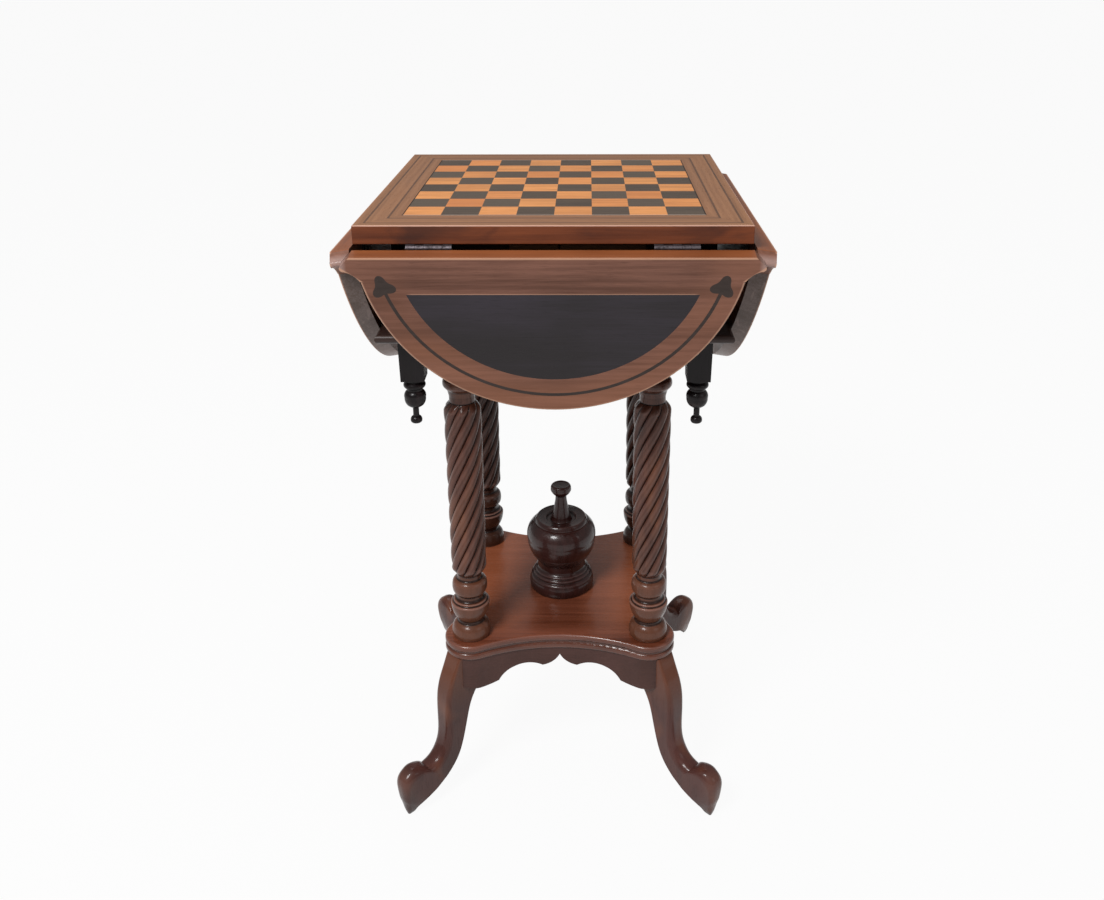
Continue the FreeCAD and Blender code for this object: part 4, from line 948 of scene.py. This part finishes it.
finish, place, shader = new_finish("hinge_steel")
brushed = noise(drawn_out(drawn_out(place, "X", 0.1), "Y", 0.1), 2400.0, detail=2.0)
stains = noise(place, 160.0, detail=3.0, rough=0.6)
# Painted light above the line of the pins and painted shade below it.
lit_above_pins = spread(parts_of(place)[2], *KNUCKLE_CROWN)
tone = brushed * 0.3 + lit_above_pins * 0.3 + 0.12
stops = {"stops": [(0.35, STEEL_DULL_AND_SHADE), (0.6, STEEL)]}
colour = tone.node("ShaderNodeValToRGB", stops, {0: tone})
colour = mixed_in(colour, STEEL_DULL_AND_SHADE, spread(stains, 0.5, 0.66) * 0.7)
tree = finish.node_tree
tree.links.new(colour.socket, shader.inputs["Base Color"])
tree.links.new((0.55 + (stains - 0.5) * 0.4).socket, shader.inputs["Roughness"])
shader.inputs["Metallic"].default_value = 1.0
scratches = {"Strength": 0.25, "Distance": 0.0002, "Height": brushed}
tree.links.new(brushed.node("ShaderNodeBump", None, scratches).socket, shader.inputs["Normal"])
dress(finish, "hinge_table_plates", "hinge_table_screws", "hinge_pins", "fly_bracket_pins")
for side in SIDES:
    dress(finish, "hinge_leaf_plates_" + side, "hinge_leaf_screws_" + side)

# ---------------------------------------------------------------- urn
# A lidded urn for small pieces, turned from nearly black wood: a drum foot with three fine steps,
# a ball with three scribed lines and a flattened shoulder, and a dished lid with a stem and a
# hollowed button. Its tenon is glued into the middle of the shelf.

URN_SEAT = 96.673
URN_WALL = 30.0
URN_GAP, LID_GAP = 0.6, 0.5
SCRIBED = (54.0, 50.5, 47.0)
SCRIBED_WIDTH, SCRIBED_DEPTH = 0.8, 0.45
URN_WOOD = rgb(50, 24, 21)
URN_ARRIS_PALE = rgb(96, 70, 66)

# Each step: its radius and its height in millimetres, and the bow of the arc that leads to it.
URN_STEPS = [
    (1.0, 0.0),
    (41.4, 0.0),
    (41.4, 15.0, 1.6),
    (39.2, 19.0, 0.8),
    (37.4, 20.2),
    (37.2, 24.0, 0.7),
    (35.0, 25.2),
    (34.6, 28.2, 0.6),
    (31.5, 32.0, -0.5),
    (31.5, 41.0),
    (45.6, 73.973, 3.667),
    (36.5, 96.673, 3.57),
    (29.0, 96.673),
    (28.0, 95.6),
    (28.0, 46.673),
    (1.0, 46.673),
]
LID_STEPS = [
    (1.0, -5.0),
    (27.4, -5.0),
    (27.7, -4.7),
    (27.7, 0.0),
    (35.2, 0.0),
    (32.4, 5.62, 0.49),
    (31.0, 5.88, 0.29),
    (20.5, 4.29, -0.29),
    (19.0, 1.59),
    (14.5, 1.33),
    (12.4, 7.53, -0.39),
    (8.6, 25.0, -0.29),
    (7.2, 37.5, -0.29),
    (13.0, 44.0, 0.62),
    (13.4, 48.0, 0.49),
    (11.0, 53.0, 1.0),
    (8.5, 52.2),
    (1.0, 51.8),
]

finish, place, shader = new_finish("urn_varnish")
grain = Grain(
    place, URN_WOOD, contrast=0.35, along="Z", seed=71.0, figure=60.0, streaky=1.0, rings=0.08,
    cloudy=0.5
)
bulge = bulge_of(place)
shaded_hollow, arris = spread(bulge, -0.05, -0.5), spread(bulge, 0.15, 0.8)
# Painted shade in the hollows of the urn and lid.
colour = mixed_in(grain.colour, grain.dark, shaded_hollow * 0.8)
# Lighter on the arrises.
colour = mixed_in(colour, URN_ARRIS_PALE, arris * 0.4)
polish(
    finish, shader, grain, colour, gloss=0.25, rough=0.3, varnish=0.35, sharp=0.08, wavy=0.25,
    worn=shaded_hollow
)

outline = turned_outline(URN_STEPS, URN_GAP, ease=1)
radii, heights = outline[:, :1], outline[:, 1]
away = [np.abs(heights - line) / SCRIBED_WIDTH for line in SCRIBED]
scribed = sum(np.clip(1 - share, 0, 1) for share in away)[:, None]
radii = radii - SCRIBED_DEPTH * scribed * (radii > URN_WALL)
grid = turned_grid(radii, heights + SHELF_TOP / MM)
turned_piece("turned_urn", grid, "table", finish, "urn")
outline = turned_outline(LID_STEPS, LID_GAP, ease=1)
grid = turned_grid(outline[:, :1], outline[:, 1] + SHELF_TOP / MM + URN_SEAT)
turned_piece("turned_lid", grid, "lid", finish, "urn_lid")
